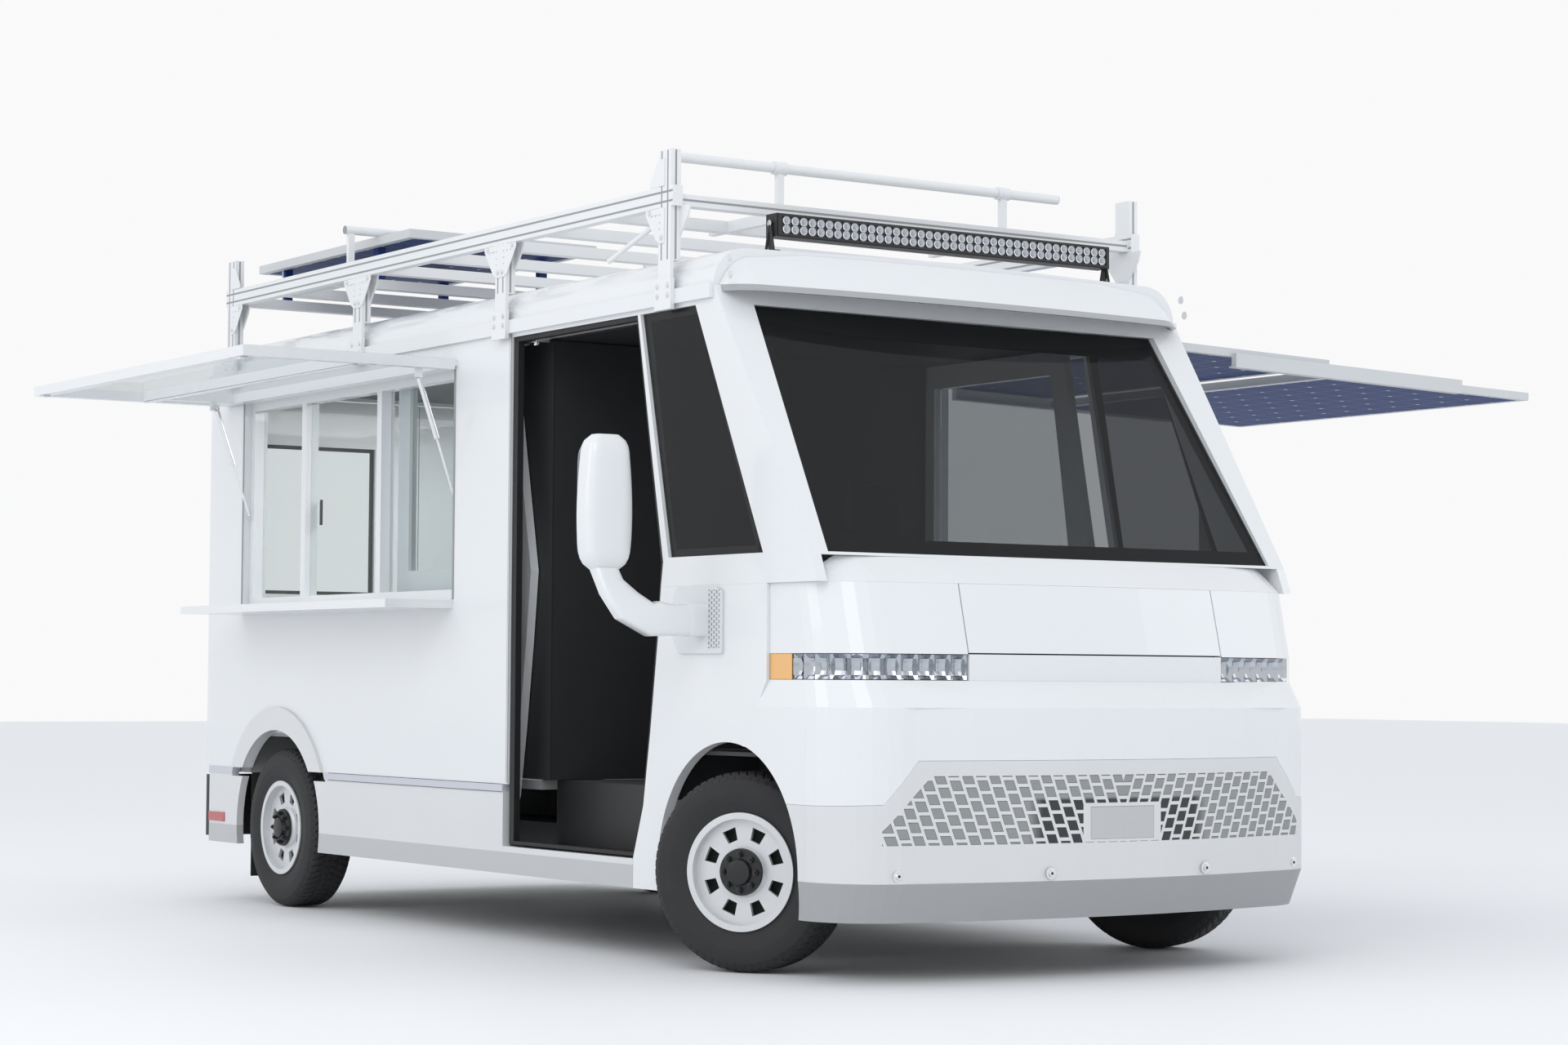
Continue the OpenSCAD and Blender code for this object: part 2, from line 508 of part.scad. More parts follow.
module awning_frame() color("white") placed() mirror([1, 0, 0]) {
    difference() {
        block([awning_in, awning_y[0], awning_hinge_z], [awning_out, awning_y[1], awning_hinge_z + awning_t]);
        block([awning_in + 60, awning_y[0] + 55, 0], [awning_out - 60, awning_y[1] - 55, 3000]);
    }
    awning_bar(awning_in + 420, awning_y[0] + 50, awning_in + 460, awning_y[1] - 50);
    for (i = [0, 1]) let (y = strut_y[i]) {
        block([awning_in + strut_out[0] - 11, y - 4, awning_hinge_z + strut_out[1] - 11],
            [awning_in + strut_out[0] + 25, y + 4, awning_hinge_z + 1]);
        yrod(y - (i == 0 ? 0 : 27), y + (i == 0 ? 27 : 0), strut_pin_r, awning_in + strut_out[0], awning_hinge_z + strut_out[1]);
    }
    block([awning_in + 60, hatch_rear - 16, awning_hinge_z], [awning_in + 425, hatch_rear + 30, awning_hinge_z + awning_t]);
}
module awning_glass() color("lightsteelblue") placed() mirror([1, 0, 0])
    block([awning_in + 30, awning_y[0] + 30, awning_hinge_z + awning_t], [awning_out - 30, awning_y[1] - 30, awning_hinge_z + awning_t + 5]);
strut_top = [awning_in + strut_out[0], awning_hinge_z + strut_out[1]];
strut_len = norm(strut_top - strut_post);
strut_angle = atan2(strut_top[0] - strut_post[0], strut_top[1] - strut_post[1]);
// strut frame: origin at the awning pin, +Z down along the strut
module on_strut() placed() mirror([1, 0, 0]) for (i = [0, 1]) translate([strut_top[0], strut_y[i] + strut_side[i] * 18, strut_top[1]])
    rotate([0, 180 + strut_angle, 0]) children();
tube_len = 285;
module strut_tubes() color("silver") on_strut() difference() {
    union() {
        translate([0, 0, 14]) cylinder(h = tube_len - 14, r = 11, $fn = 32);
        translate([0, 0, 0]) yrod(-5, 5, 15);
    }
    yrod(-6, 6, strut_pin_r + fit);
    translate([0, 0, 30]) cylinder(h = tube_len, r = 5 + fit, $fn = 32);
}
module strut_rods() color("silver") on_strut()
    translate([0, 0, strut_len - 330]) cylinder(h = 318, r = 5, $fn = 32);

// ---------- roof rack ----------
rack_x = half_w + 5;
rack_front = post_y[0] - 60;
rack_rear = post_y[3] + 60;
slat_count = 9;
function slat_y(i) = rack_front + 20 + (rack_rear - rack_front - 100) * i / (slat_count - 1);
sun_slats = [6, 8];            // the slats that the module stands on
sun_panel = [[-920, 3005, 3100], [70, 4655, 3140]];
module roof_rack() color("white") placed() {
    both() {
        block([rack_x - beam_w / 2, rack_front, rack_h], [rack_x + beam_w / 2, rack_rear, rack_h + beam_h]);
        for (i = [0:3]) {
            y = post_y[i];
            top = i == 0 || i == 3 ? post_top : rack_h + 1;
            block([rack_x - beam_w / 2, y - beam_w, 2690], [rack_x + beam_w / 2, y + beam_w, top]);
            block([half_w + gutter_out + seam, y - 60, 2500], [rack_x + beam_w / 2 + 8, y + 60, 2620]);
            block([rack_x + 8, y - beam_w, 2619], [rack_x + beam_w / 2, y + beam_w, 2691]);
            for (s = [-1, 1]) side_slab(rack_x - 25, rack_x - 17) translate([y, rack_h])
                polygon([[0, 1], [s * 120, 1], [s * 105, -40], [s * 40, -120], [0, -120]]);
        }
    }
    for (i = [0:slat_count - 1]) {
        block([-rack_x, slat_y(i), rack_h + 5], [rack_x, slat_y(i) + 60, rack_h + 50]);
    }
    // ladder tubes: lengthwise place, height, x of the two stands
    for (t = [[490, post_top - 2, -560, 560], [3350, sun_panel[1][2] + 20 + touch, -1050, 560]]) {
        xrod(-1080, 850, 20, t[0], t[1]);
        for (x = [t[2], t[3]]) {
            block([x - 15, t[0] - 12, rack_h + 20], [x + 15, t[0] + 12, t[1] - 10]);
            block([x - 15, t[0] - 90, rack_h + 5], [x + 15, t[0] + 500, rack_h + 49]);
        }
    }
}
lamp_bar = [823, 110, 2785];   // half length, front face, underside
module light_bar() color("black") placed() {
    block([-lamp_bar[0], lamp_bar[1], lamp_bar[2]], [lamp_bar[0], lamp_bar[1] + 75, lamp_bar[2] + 90]);
    both() {
        block([lamp_bar[0] - 1, lamp_bar[1] + 25, 2735], [lamp_bar[0] + 6, lamp_bar[1] + 50, lamp_bar[2] + 50]);
        block([lamp_bar[0] - 30, lamp_bar[1] + 20, roof_h - 15.8], [lamp_bar[0] + 6, lamp_bar[1] + 55, 2736]);
    }
}
module roof_panel() color("navy") placed() {
    block(sun_panel[0], sun_panel[1]);
    for (x = [-860, 10], i = sun_slats) block([x - 20, slat_y(i) + 10, rack_h + 50 + touch], [x + 20, slat_y(i) + 50, sun_panel[0][2] + 1]);
}
// canopy frame: origin on the hinge line, +X outwards along the tilted panel
module on_canopy() placed() translate([canopy_hinge_x, 250, canopy_hinge_z]) rotate([0, canopy_tilt, 0]) children();
rail_y = 30;
module canopy_inner() color("navy") on_canopy() {
    block([0, 0, -panel_t], [canopy_in, canopy_len, 0]);
    for (y = [-rail_y, canopy_len]) {
        block([430, y, -panel_t * 2 - 8], [1790, y + rail_y, -panel_t + 12]);
        block([430, y < 0 ? y : y - 16, -panel_t * 2 - 14], [1790, y < 0 ? 16 : y + rail_y, -panel_t * 2 - 7]);
    }
}
module canopy_outer() color("navy") on_canopy()
    block([canopy_in + 10, touch, -panel_t * 2 - 6], [canopy_in + 10 + canopy_out, canopy_len - touch, -panel_t - 6]);

frame_rails();
battery_pack();
front_axle();
knuckle(-1);  // knuckle_right
knuckle(1);  // knuckle_left
rear_axle();
color("silver") at_front(-1) rim_shape();  // rim_front_right
color("silver") at_front(1) rim_shape();  // rim_front_left
color("silver") at_rear(-1) rim_shape();  // rim_rear_right
color("silver") at_rear(1) rim_shape();  // rim_rear_left
color("black") at_front(-1) tyre_shape();  // tyre_front_right
color("black") at_front(1) tyre_shape();  // tyre_front_left
color("black") at_rear(-1) tyre_shape();  // tyre_rear_right
color("black") at_rear(1) tyre_shape();  // tyre_rear_left
cab_floor();
cargo_floor();
side_wall(-1);  // side_wall_right
side_wall(1);  // side_wall_left
roof();
rear_frame();
rear_door(-1);  // rear_door_right
rear_door(1);  // rear_door_left
rear_bumper();
rear_lamps();
cab_frame();
fenders();
front_corners();
cowl();
hood();
centre_bar();
headlamps();
bumper_upper();
bumper_lower();
windshield();
quarter_windows();
sun_visor();
color("white") door_at(-1) door_shape();  // cab_door_right
color("white") door_at(1) door_shape();  // cab_door_left
color("lightsteelblue") door_at(-1) pane_shape();  // door_glass_right
color("lightsteelblue") door_at(1) pane_shape();  // door_glass_left
mirrors();
side_skirts();
wheel_flares();
mud_flaps();
dashboard();
steering_wheel();
driver_seat();
bulkhead();
serving_window();
serving_glass();
serving_shelf();
awning_frame();
awning_glass();
strut_tubes();
strut_rods();
roof_rack();
light_bar();
roof_panel();
canopy_inner();
canopy_outer();
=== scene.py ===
# %% [markdown]
# A food truck, finished for looks on top of its measured model. The model gives every
# plate, tube and wheel its place; this script gives each one a surface, and adds the small
# things that a measured model leaves out: slots, bolts, seals, cells and lamps.
#
# Everything below is drawn in metres with the front axle at Y = 0 and the ground at Z = 0.
# One shift then carries it to the model's own origin.

import math

import bmesh
import bpy
import numpy as np
from mathutils import Matrix, Vector
from mathutils.geometry import tessellate_polygon


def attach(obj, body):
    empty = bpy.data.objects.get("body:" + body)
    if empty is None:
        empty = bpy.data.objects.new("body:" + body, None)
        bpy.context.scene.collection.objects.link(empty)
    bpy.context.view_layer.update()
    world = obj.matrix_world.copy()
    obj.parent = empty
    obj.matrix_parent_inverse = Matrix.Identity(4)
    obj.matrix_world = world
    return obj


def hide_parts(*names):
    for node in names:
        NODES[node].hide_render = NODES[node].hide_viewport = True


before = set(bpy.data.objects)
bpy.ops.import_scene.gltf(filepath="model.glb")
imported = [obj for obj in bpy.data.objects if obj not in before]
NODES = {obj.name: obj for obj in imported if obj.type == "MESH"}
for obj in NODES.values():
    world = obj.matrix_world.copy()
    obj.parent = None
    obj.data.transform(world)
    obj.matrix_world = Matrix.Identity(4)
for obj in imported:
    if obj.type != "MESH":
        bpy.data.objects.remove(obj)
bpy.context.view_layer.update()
SHIFT = np.array([-0.65456, -1.886, 0.0])

# %% [markdown]
# Four ways to make a surface cover the whole truck. A prism pushes a flat outline along
# one axis, like a saw cut through plate. A sweep carries a round section along a path,
# like a drawn tube. A turned piece spins a profile, like work in a lathe. Copies repeat
# one small mesh at many places in one go.


# %% Shape helpers
ORIGIN = (0, 0, 0)


def grid_faces(n, m, closed_n=True, closed_m=True):
    """The four-sided faces of an n by m net of points. A closed direction joins its last
    row to its first."""
    rows, columns = range(n if closed_n else n - 1), range(m if closed_m else m - 1)
    return [
        (i * m + j, (i + 1) % n * m + j, (i + 1) % n * m + (j + 1) % m, i * m + (j + 1) % m)
        for i in rows
        for j in columns
    ]


def regular(radius, sides, centre=(0, 0)):
    """The corners of a regular outline: radius times the cosine and sine of equal turns."""
    a = np.arange(sides) * 2 * np.pi / sides
    return [(centre[0] + radius * math.cos(t), centre[1] + radius * math.sin(t)) for t in a]


def oblong(x0, z0, x1, z1):
    """The four corners of an upright rectangle."""
    return [(x0, z0), (x1, z0), (x1, z1), (x0, z1)]


def join(parts):
    """One (points, faces) pair from several: each part's face numbers move up by the
    number of points that come before it."""
    points, faces, base = [], [], 0
    for p, f in parts:
        points.append(np.asarray(p, float))
        faces += [tuple(i + base for i in face) for face in f]
        base += len(p)
    return np.concatenate(points), faces


def box(lo, hi):
    """The eight corners of a block: each corner takes lo or hi in each of x, y, z."""
    lo, hi = np.asarray(lo, float), np.asarray(hi, float)
    pick = np.array([[i & 1, i >> 1 & 1, i >> 2 & 1] for i in range(8)])
    faces = [(0, 2, 3, 1), (4, 5, 7, 6), (0, 1, 5, 4), (2, 6, 7, 3), (0, 4, 6, 2), (1, 3, 7, 5)]
    return lo + pick * (hi - lo), faces


def prism(outline, axis, lo, hi, holes=()):
    """A flat outline pushed from lo to hi along an axis. The outline is given in the two
    other axes, in x, y, z order; holes are outlines too."""
    loops = [np.asarray(o, float) for o in (outline, *holes)]
    area = [0.5 * np.sum(l[:, 0] * np.roll(l[:, 1], -1) - np.roll(l[:, 0], -1) * l[:, 1]) for l in loops]
    loops = [l if (a > 0) == (k == 0) else l[::-1] for k, (l, a) in enumerate(zip(loops, area))]
    flat = np.concatenate(loops)
    caps = tessellate_polygon([[Vector((*p, 0)) for p in l] for l in loops])
    n = len(flat)

    def lift(value):
        return np.insert(flat, axis, value, axis=1)

    faces, start = [], 0
    for c in caps:
        a, b, d = flat[c[0]], flat[c[1]], flat[c[2]]
        turn = (b[0] - a[0]) * (d[1] - a[1]) - (b[1] - a[1]) * (d[0] - a[0])
        c = c if turn > 0 else c[::-1]
        faces += [tuple(i + n for i in c), tuple(c[::-1])]
    for l in loops:
        m = len(l)
        faces += [(start + i, start + (i + 1) % m, start + (i + 1) % m + n, start + i + n) for i in range(m)]
        start += m
    if axis == 1:
        faces = [f[::-1] for f in faces]
    return np.concatenate([lift(lo), lift(hi)]), faces


def lathe(profile, axis, centre, steps=48):
    """A closed (radius, height) profile spun about an axis through centre: the point at
    angle a stands at radius * (cos a, sin a) across the axis and at height along it."""
    r, h = np.asarray(profile, float).T
    a = np.linspace(0, 2 * np.pi, steps, endpoint=False)[:, None]
    u, v = (axis + 1) % 3, (axis + 2) % 3
    points = np.zeros((steps, len(r), 3))
    points[..., u], points[..., v], points[..., axis] = r * np.cos(a), r * np.sin(a), h
    return points.reshape(-1, 3) + centre, grid_faces(steps, len(r))


def tube(path, radius, sides=16):
    """A round section carried along a path. Each ring stands square to the path there,
    and the ends are closed."""
    path = np.asarray(path, float)
    along = np.gradient(path, axis=0)
    along /= np.linalg.norm(along, axis=1)[:, None]
    guide = np.where(np.abs(along[:, 2:3]) > 0.9, [1.0, 0, 0], [0, 0, 1.0])
    side = np.cross(along, guide)
    side /= np.linalg.norm(side, axis=1)[:, None]
    up = np.cross(side, along)
    a = np.linspace(0, 2 * np.pi, sides, endpoint=False)
    ring = np.cos(a)[None, :, None] * side[:, None] + np.sin(a)[None, :, None] * up[:, None]
    points = (path[:, None] + radius * ring).reshape(-1, 3)
    k = len(path)
    faces = grid_faces(k, sides, closed_n=False)
    faces += [tuple(range(sides)), tuple(range((k - 1) * sides, k * sides))[::-1]]
    return points, faces


def loft(rings):
    """A closed skin over a row of rings with the same number of points each."""
    rings = np.asarray(rings, float)
    k, n = rings.shape[:2]
    faces = [f[::-1] for f in grid_faces(k, n, closed_n=False)]
    return rings.reshape(-1, 3), faces + [tuple(range(n))[::-1], tuple(range((k - 1) * n, k * n))]


def soft_ring(centre, u, v, power=5.0, count=48):
    """A rounded rectangle about a centre: half sides are the vectors u and v, and the
    higher the power, the tighter the corners."""
    a = np.linspace(0, 2 * np.pi, count, endpoint=False)
    c, s = np.cos(a), np.sin(a)
    c, s = np.sign(c) * np.abs(c) ** (2 / power), np.sign(s) * np.abs(s) ** (2 / power)
    return np.asarray(centre, float) + c[:, None] * np.asarray(u, float) + s[:, None] * np.asarray(v, float)


def rod(a, b, radius, sides=16):
    """A straight round bar from a to b."""
    return tube([a, b], radius, sides)


def copies(part, places):
    """The same part set down at each of many places."""
    points, faces = part
    places = np.asarray(places, float).reshape(-1, 1, 3)
    all_points = (points[None] + places).reshape(-1, 3)
    f = [tuple(i + k * len(points) for i in face) for k in range(len(places)) for face in faces]
    return all_points, f


def mirrored(part):
    """The part's twin on the other side of the truck: x changes sign and faces turn over."""
    points, faces = part
    return points * [-1, 1, 1], [f[::-1] for f in faces]


def both(part):
    """The part and its twin."""
    return join([part, mirrored(part)])


def turn_out(mesh):
    """Turns every shell so that its faces look outward."""
    work = bmesh.new()
    work.from_mesh(mesh)
    bmesh.ops.recalc_face_normals(work, faces=work.faces)
    work.to_mesh(mesh)
    work.free()


def piece(name, part, material, body="truck", smooth=35, bevel=0.0):
    """A finished object: the shift is added to its points, faces are turned outward, and
    edges flatter than `smooth` degrees shade smoothly. It rides on the named body."""
    points, faces = part
    mesh = bpy.data.meshes.new(name)
    mesh.from_pydata((points + SHIFT).tolist(), [], faces)
    mesh.update()
    mesh.materials.append(material)
    turn_out(mesh)
    mesh.shade_smooth()
    mesh.set_sharp_from_angle(angle=math.radians(smooth))
    made = bpy.data.objects.new(name, mesh)
    bpy.context.scene.collection.objects.link(made)
    if bevel:
        edge = made.modifiers.new("soft edges", "BEVEL")
        edge.width, edge.segments, edge.limit_method = bevel, 2, "ANGLE"
        edge.harden_normals = False
    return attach(made, body)


print("helpers ready")

# %% [markdown]
# Real paint and plastic are never one flat colour. One shared recipe gives every finish a
# slow, faint change of tone and a fine roughness, as dust and handling do. It puts out only
# a tone and a bump normal, and each finish mixes them in by its own amount.


# %% Finish helpers
def shared_wear():
    """A node group: slow cloudy noise makes a tone near 1, and fine noise makes the bump."""
    group = bpy.data.node_groups.new("Soft wear", "ShaderNodeTree")
    face = group.interface
    for title, value in (("Size", 3.0), ("Amount", 0.04), ("Bump", 0.02)):
        face.new_socket(title, in_out="INPUT", socket_type="NodeSocketFloat").default_value = value
    face.new_socket("Tone", in_out="OUTPUT", socket_type="NodeSocketFloat")
    face.new_socket("Normal", in_out="OUTPUT", socket_type="NodeSocketVector")
    new, link = group.nodes.new, group.links.new
    start, end = new("NodeGroupInput"), new("NodeGroupOutput")
    place, slow, fine = new("ShaderNodeTexCoord"), new("ShaderNodeTexNoise"), new("ShaderNodeTexNoise")
    fine.inputs["Scale"].default_value = 420
    slow.inputs["Detail"].default_value = 4
    for noise in (slow, fine):
        link(place.outputs["Object"], noise.inputs["Vector"])
    link(start.outputs["Size"], slow.inputs["Scale"])
    centre, scaled, lift = new("ShaderNodeMath"), new("ShaderNodeMath"), new("ShaderNodeMath")
    centre.operation, scaled.operation = "SUBTRACT", "MULTIPLY"
    centre.inputs[1].default_value = 0.5
    lift.inputs[1].default_value = 1.0
    link(slow.outputs["Fac"], centre.inputs[0])
    link(centre.outputs[0], scaled.inputs[0])
    link(start.outputs["Amount"], scaled.inputs[1])
    link(scaled.outputs[0], lift.inputs[0])
    bump = new("ShaderNodeBump")
    bump.inputs["Distance"].default_value = 0.001
    link(start.outputs["Bump"], bump.inputs["Strength"])
    link(fine.outputs["Fac"], bump.inputs["Height"])
    link(lift.outputs[0], end.inputs["Tone"])
    link(bump.outputs["Normal"], end.inputs["Normal"])
    return group


WEAR = shared_wear()


def finish(name, colour, rough=0.4, metal=0.0, coat=0.0, wear=0.05, bump=0.03, size=2.0, **more):
    """A surface finish: the base colour times the shared tone, with the shared bump."""
    made = bpy.data.materials.new(name)
    made.use_nodes = True
    new, link = made.node_tree.nodes.new, made.node_tree.links.new
    shader = made.node_tree.nodes["Principled BSDF"]
    worn, mix = new("ShaderNodeGroup"), new("ShaderNodeMix")
    worn.node_tree = WEAR
    worn.inputs["Size"].default_value, worn.inputs["Amount"].default_value = size, wear
    worn.inputs["Bump"].default_value = bump
    mix.data_type, mix.blend_type = "RGBA", "MULTIPLY"
    mix.inputs["Factor"].default_value = 1.0
    mix.inputs["A"].default_value = (*colour, 1)
    link(worn.outputs["Tone"], mix.inputs["B"])
    link(mix.outputs["Result"], shader.inputs["Base Color"])
    link(worn.outputs["Normal"], shader.inputs["Normal"])
    shader.inputs["Roughness"].default_value = rough
    shader.inputs["Metallic"].default_value = metal
    shader.inputs["Coat Weight"].default_value = coat
    shader.inputs["Coat Roughness"].default_value = 0.04
    for socket, value in more.items():
        shader.inputs[socket.replace("_", " ")].default_value = value
    made.diffuse_color = (*colour, 1)
    return made


BODY = finish("body white", (0.76, 0.77, 0.78), 0.32, coat=0.6, wear=0.03)
RACK = finish("rack white", (0.78, 0.785, 0.79), 0.38, wear=0.05)
LOWER = finish("lower panel grey", (0.68, 0.685, 0.69), 0.48, wear=0.06, bump=0.06)
STEEL = finish("wheel steel", (0.66, 0.67, 0.68), 0.36, metal=0.35, wear=0.1)
BRIGHT = finish("bright metal", (0.78, 0.78, 0.79), 0.2, metal=1.0, wear=0.06)
RUBBER = finish("rubber", (0.018, 0.018, 0.02), 0.72, wear=0.4, bump=0.3, size=9)
BLACK = finish("black plastic", (0.014, 0.014, 0.015), 0.45, wear=0.2, bump=0.1)
SEAL = finish("door seal", (0.008, 0.008, 0.009), 0.6, wear=0.2)
CHASSIS = finish("chassis black", (0.035, 0.036, 0.038), 0.6, wear=0.4, bump=0.2, size=5)
FLOOR_MAT = finish("cab floor mat", (0.045, 0.046, 0.05), 0.8, wear=0.3, bump=0.5)
CARGO = finish("cargo floor", (0.30, 0.305, 0.31), 0.6, wear=0.15, bump=0.3)
LINING = finish("cab lining", (0.022, 0.022, 0.024), 0.6, wear=0.2)
SEAT = finish("seat cloth", (0.06, 0.064, 0.07), 0.9, wear=0.3, bump=0.8, size=12)
DASH = finish("dashboard", (0.05, 0.052, 0.056), 0.65, wear=0.2, bump=0.4)
SUN_CELL = finish("solar cells", (0.014, 0.032, 0.11), 0.22, coat=1.0, wear=0.3, size=1.2)
CAP_BLACK_AND_SOCKET_SHADE = finish("black caps and socket shade", (0.02, 0.02, 0.02), 0.5)
RED = finish("red lens", (0.45, 0.012, 0.014), 0.15, coat=1.0, wear=0.1)
AMBER = finish("amber lens", (0.85, 0.42, 0.10), 0.15, coat=1.0, wear=0.1)


def clear(name, colour, tint, rough=0.02, ior=1.3):
    """See-through glass: mostly plain transparency, with a mirror share that grows at
    shallow angles (Fresnel) and only on the faces that light enters by. `tint` is the
    share of light that the sheet keeps back."""
    made = bpy.data.materials.new(name)
    made.use_nodes = True
    tree = made.node_tree
    new, link = tree.nodes.new, tree.links.new
    tree.nodes.remove(tree.nodes["Principled BSDF"])
    through, dark, shine = (new(f"ShaderNodeBsdf{k}") for k in ("Transparent", "Diffuse", "Glossy"))
    through.inputs["Color"].default_value = (*colour, 1)
    dark.inputs["Color"].default_value = (*[c * 0.3 for c in colour], 1)
    shine.inputs["Roughness"].default_value = rough
    body, top, edge = new("ShaderNodeMixShader"), new("ShaderNodeMixShader"), new("ShaderNodeFresnel")
    body.inputs["Fac"].default_value = tint
    edge.inputs["IOR"].default_value = ior
    link(through.outputs[0], body.inputs[1])
    link(dark.outputs[0], body.inputs[2])
    facing, front, share = new("ShaderNodeNewGeometry"), new("ShaderNodeMath"), new("ShaderNodeMath")
    front.operation, share.operation = "SUBTRACT", "MULTIPLY"
    front.inputs[0].default_value = 1.0
    link(facing.outputs["Backfacing"], front.inputs[1])
    link(edge.outputs[0], share.inputs[0])
    link(front.outputs[0], share.inputs[1])
    link(share.outputs[0], top.inputs["Fac"])
    link(body.outputs[0], top.inputs[1])
    link(shine.outputs[0], top.inputs[2])
    link(top.outputs[0], tree.nodes["Material Output"].inputs["Surface"])
    made.diffuse_color = (*colour, 0.4)
    return made


CLEAR = clear("clear glass", (0.93, 0.95, 0.95), 0.05, ior=1.12)
SCREEN = clear("windscreen glass", (0.52, 0.53, 0.54), 0.06, ior=1.22)
LENS = clear("lamp lens", (0.97, 0.98, 0.98), 0.0)
print("finishes:", len(bpy.data.materials))

# %% [markdown]
# Every measured part gets a finish before anything is added, so nothing stays bare. Edges
# sharper than 25 degrees are marked sharp.

# %% Finishes on the measured parts
CAD_FINISH = {
    BODY: "side_wall_right side_wall_left roof rear_frame rear_door_right rear_door_left cab_frame "
    "fenders front_corners cowl hood centre_bar bumper_upper sun_visor cab_door_right cab_door_left "
    "serving_window serving_shelf awning_frame mirrors",
    RACK: "roof_rack strut_rods",
    LOWER: "bumper_lower side_skirts wheel_flares",
    STEEL: "rim_front_right rim_front_left rim_rear_right rim_rear_left",
    BRIGHT: "strut_tubes",
    RUBBER: "tyre_front_right tyre_front_left tyre_rear_right tyre_rear_left mud_flaps",
    CHASSIS: "frame_rails battery_pack front_axle knuckle_right knuckle_left rear_axle",
    BLACK: "rear_bumper light_bar steering_wheel",
    FLOOR_MAT: "cab_floor",
    CARGO: "cargo_floor",
    LINING: "bulkhead",
    SEAT: "driver_seat",
    DASH: "dashboard",
    SCREEN: "windshield quarter_windows",
    CLEAR: "door_glass_right door_glass_left serving_glass awning_glass",
    LENS: "headlamps",
    RED: "rear_lamps",
    SUN_CELL: "roof_panel canopy_inner canopy_outer",
}
for material, names in CAD_FINISH.items():
    for name in names.split():
        part = NODES[name]
        part.data.materials.clear()
        part.data.materials.append(material)
        part.data.set_sharp_from_angle(angle=math.radians(25))
print("finished", sum(len(n.split()) for n in CAD_FINISH.values()), "of", len(NODES), "parts")

# %% [markdown]
# Some surfaces are printed or pressed in a regular pattern: the grille cells, the solar
# cells, the holes of the mirror plates. Each is worked out from the place on the truck, so
# it needs no picture. One shared group draws a field of leaning cells in staggered rows.


# %% Pattern helpers
def calc(tree, kind, a, b=0.0, c=None):
    """One sum on numbers or sockets, as a maths node; returns its output."""
    made = tree.nodes.new("ShaderNodeMath")
    made.operation = kind
    for i, value in enumerate((a, b) if c is None else (a, b, c)):
        if isinstance(value, (int, float)):
            made.inputs[i].default_value = value
        else:
            tree.links.new(value, made.inputs[i])
    return made.outputs[0]


def shared_cells():
    """A node group: cells of size Wide x High in rows, every second row moved by half a
    cell, each leaning sideways by Lean per unit of height. Mask is 1 inside a cell and
    falls to 0 over the bar between cells."""
    group = bpy.data.node_groups.new("Leaning cells", "ShaderNodeTree")
    for title in ("Across", "Up", "Wide", "High", "Lean", "Bar", "Stagger"):
        group.interface.new_socket(title, in_out="INPUT", socket_type="NodeSocketFloat")
    group.interface.new_socket("Mask", in_out="OUTPUT", socket_type="NodeSocketFloat")
    start, end = group.nodes.new("NodeGroupInput"), group.nodes.new("NodeGroupOutput")
    i = start.outputs
    row = calc(group, "DIVIDE", i["Up"], i["High"])
    odd = calc(group, "MULTIPLY", calc(group, "PINGPONG", calc(group, "FLOOR", row), 1.0), i["Stagger"])
    slid = calc(group, "ADD", i["Across"], calc(group, "MULTIPLY", i["Up"], i["Lean"]))
    along = calc(group, "DIVIDE", slid, i["Wide"])
    u = calc(group, "PINGPONG", calc(group, "ADD", along, odd), 0.5)
    v = calc(group, "PINGPONG", row, 0.5)
    half_bar = calc(group, "MULTIPLY", i["Bar"], 0.5)
    inner_u, inner_v = (
        calc(group, "DIVIDE", calc(group, "SUBTRACT", calc(group, "MULTIPLY", t, size), half_bar), 0.002)
        for t, size in ((u, i["Wide"]), (v, i["High"]))
    )
    mask = calc(group, "MINIMUM", inner_u, inner_v)
    mask = calc(group, "MINIMUM", calc(group, "MAXIMUM", mask, 0.0), 1.0)
    group.links.new(mask, end.inputs["Mask"])
    return group


CELLS = shared_cells()


def place_on(material):
    """The three coordinates of the shaded point, in metres, as drawn here."""
    tree = material.node_tree
    where, apart = tree.nodes.new("ShaderNodeTexCoord"), tree.nodes.new("ShaderNodeSeparateXYZ")
    tree.links.new(where.outputs["Object"], apart.inputs[0])
    return [calc(tree, "SUBTRACT", apart.outputs[i], float(SHIFT[i])) for i in range(3)]


def cells(material, across, up, wide, high, lean=0.0, bar=0.004, stagger=0.0):
    """The mask of a field of cells, ready to colour a finish."""
    tree = material.node_tree
    made = tree.nodes.new("ShaderNodeGroup")
    made.node_tree = CELLS
    for title, value in (("Across", across), ("Up", up)):
        tree.links.new(value, made.inputs[title])
    for title, value in (("Wide", wide), ("High", high), ("Lean", lean), ("Bar", bar), ("Stagger", stagger)):
        made.inputs[title].default_value = value
    return made.outputs["Mask"]


def between(tree, value, lo, hi, soft=0.002):
    """1 where lo < value < hi, with edges `soft` metres wide."""
    a = calc(tree, "DIVIDE", calc(tree, "SUBTRACT", value, lo), soft)
    b = calc(tree, "DIVIDE", calc(tree, "SUBTRACT", hi, value), soft)
    return calc(tree, "MINIMUM", calc(tree, "MAXIMUM", calc(tree, "MINIMUM", a, b), 0.0), 1.0)


def both_masks(tree, *masks):
    """The product of several masks."""
    out = masks[0]
    for m in masks[1:]:
        out = calc(tree, "MULTIPLY", out, m)
    return out


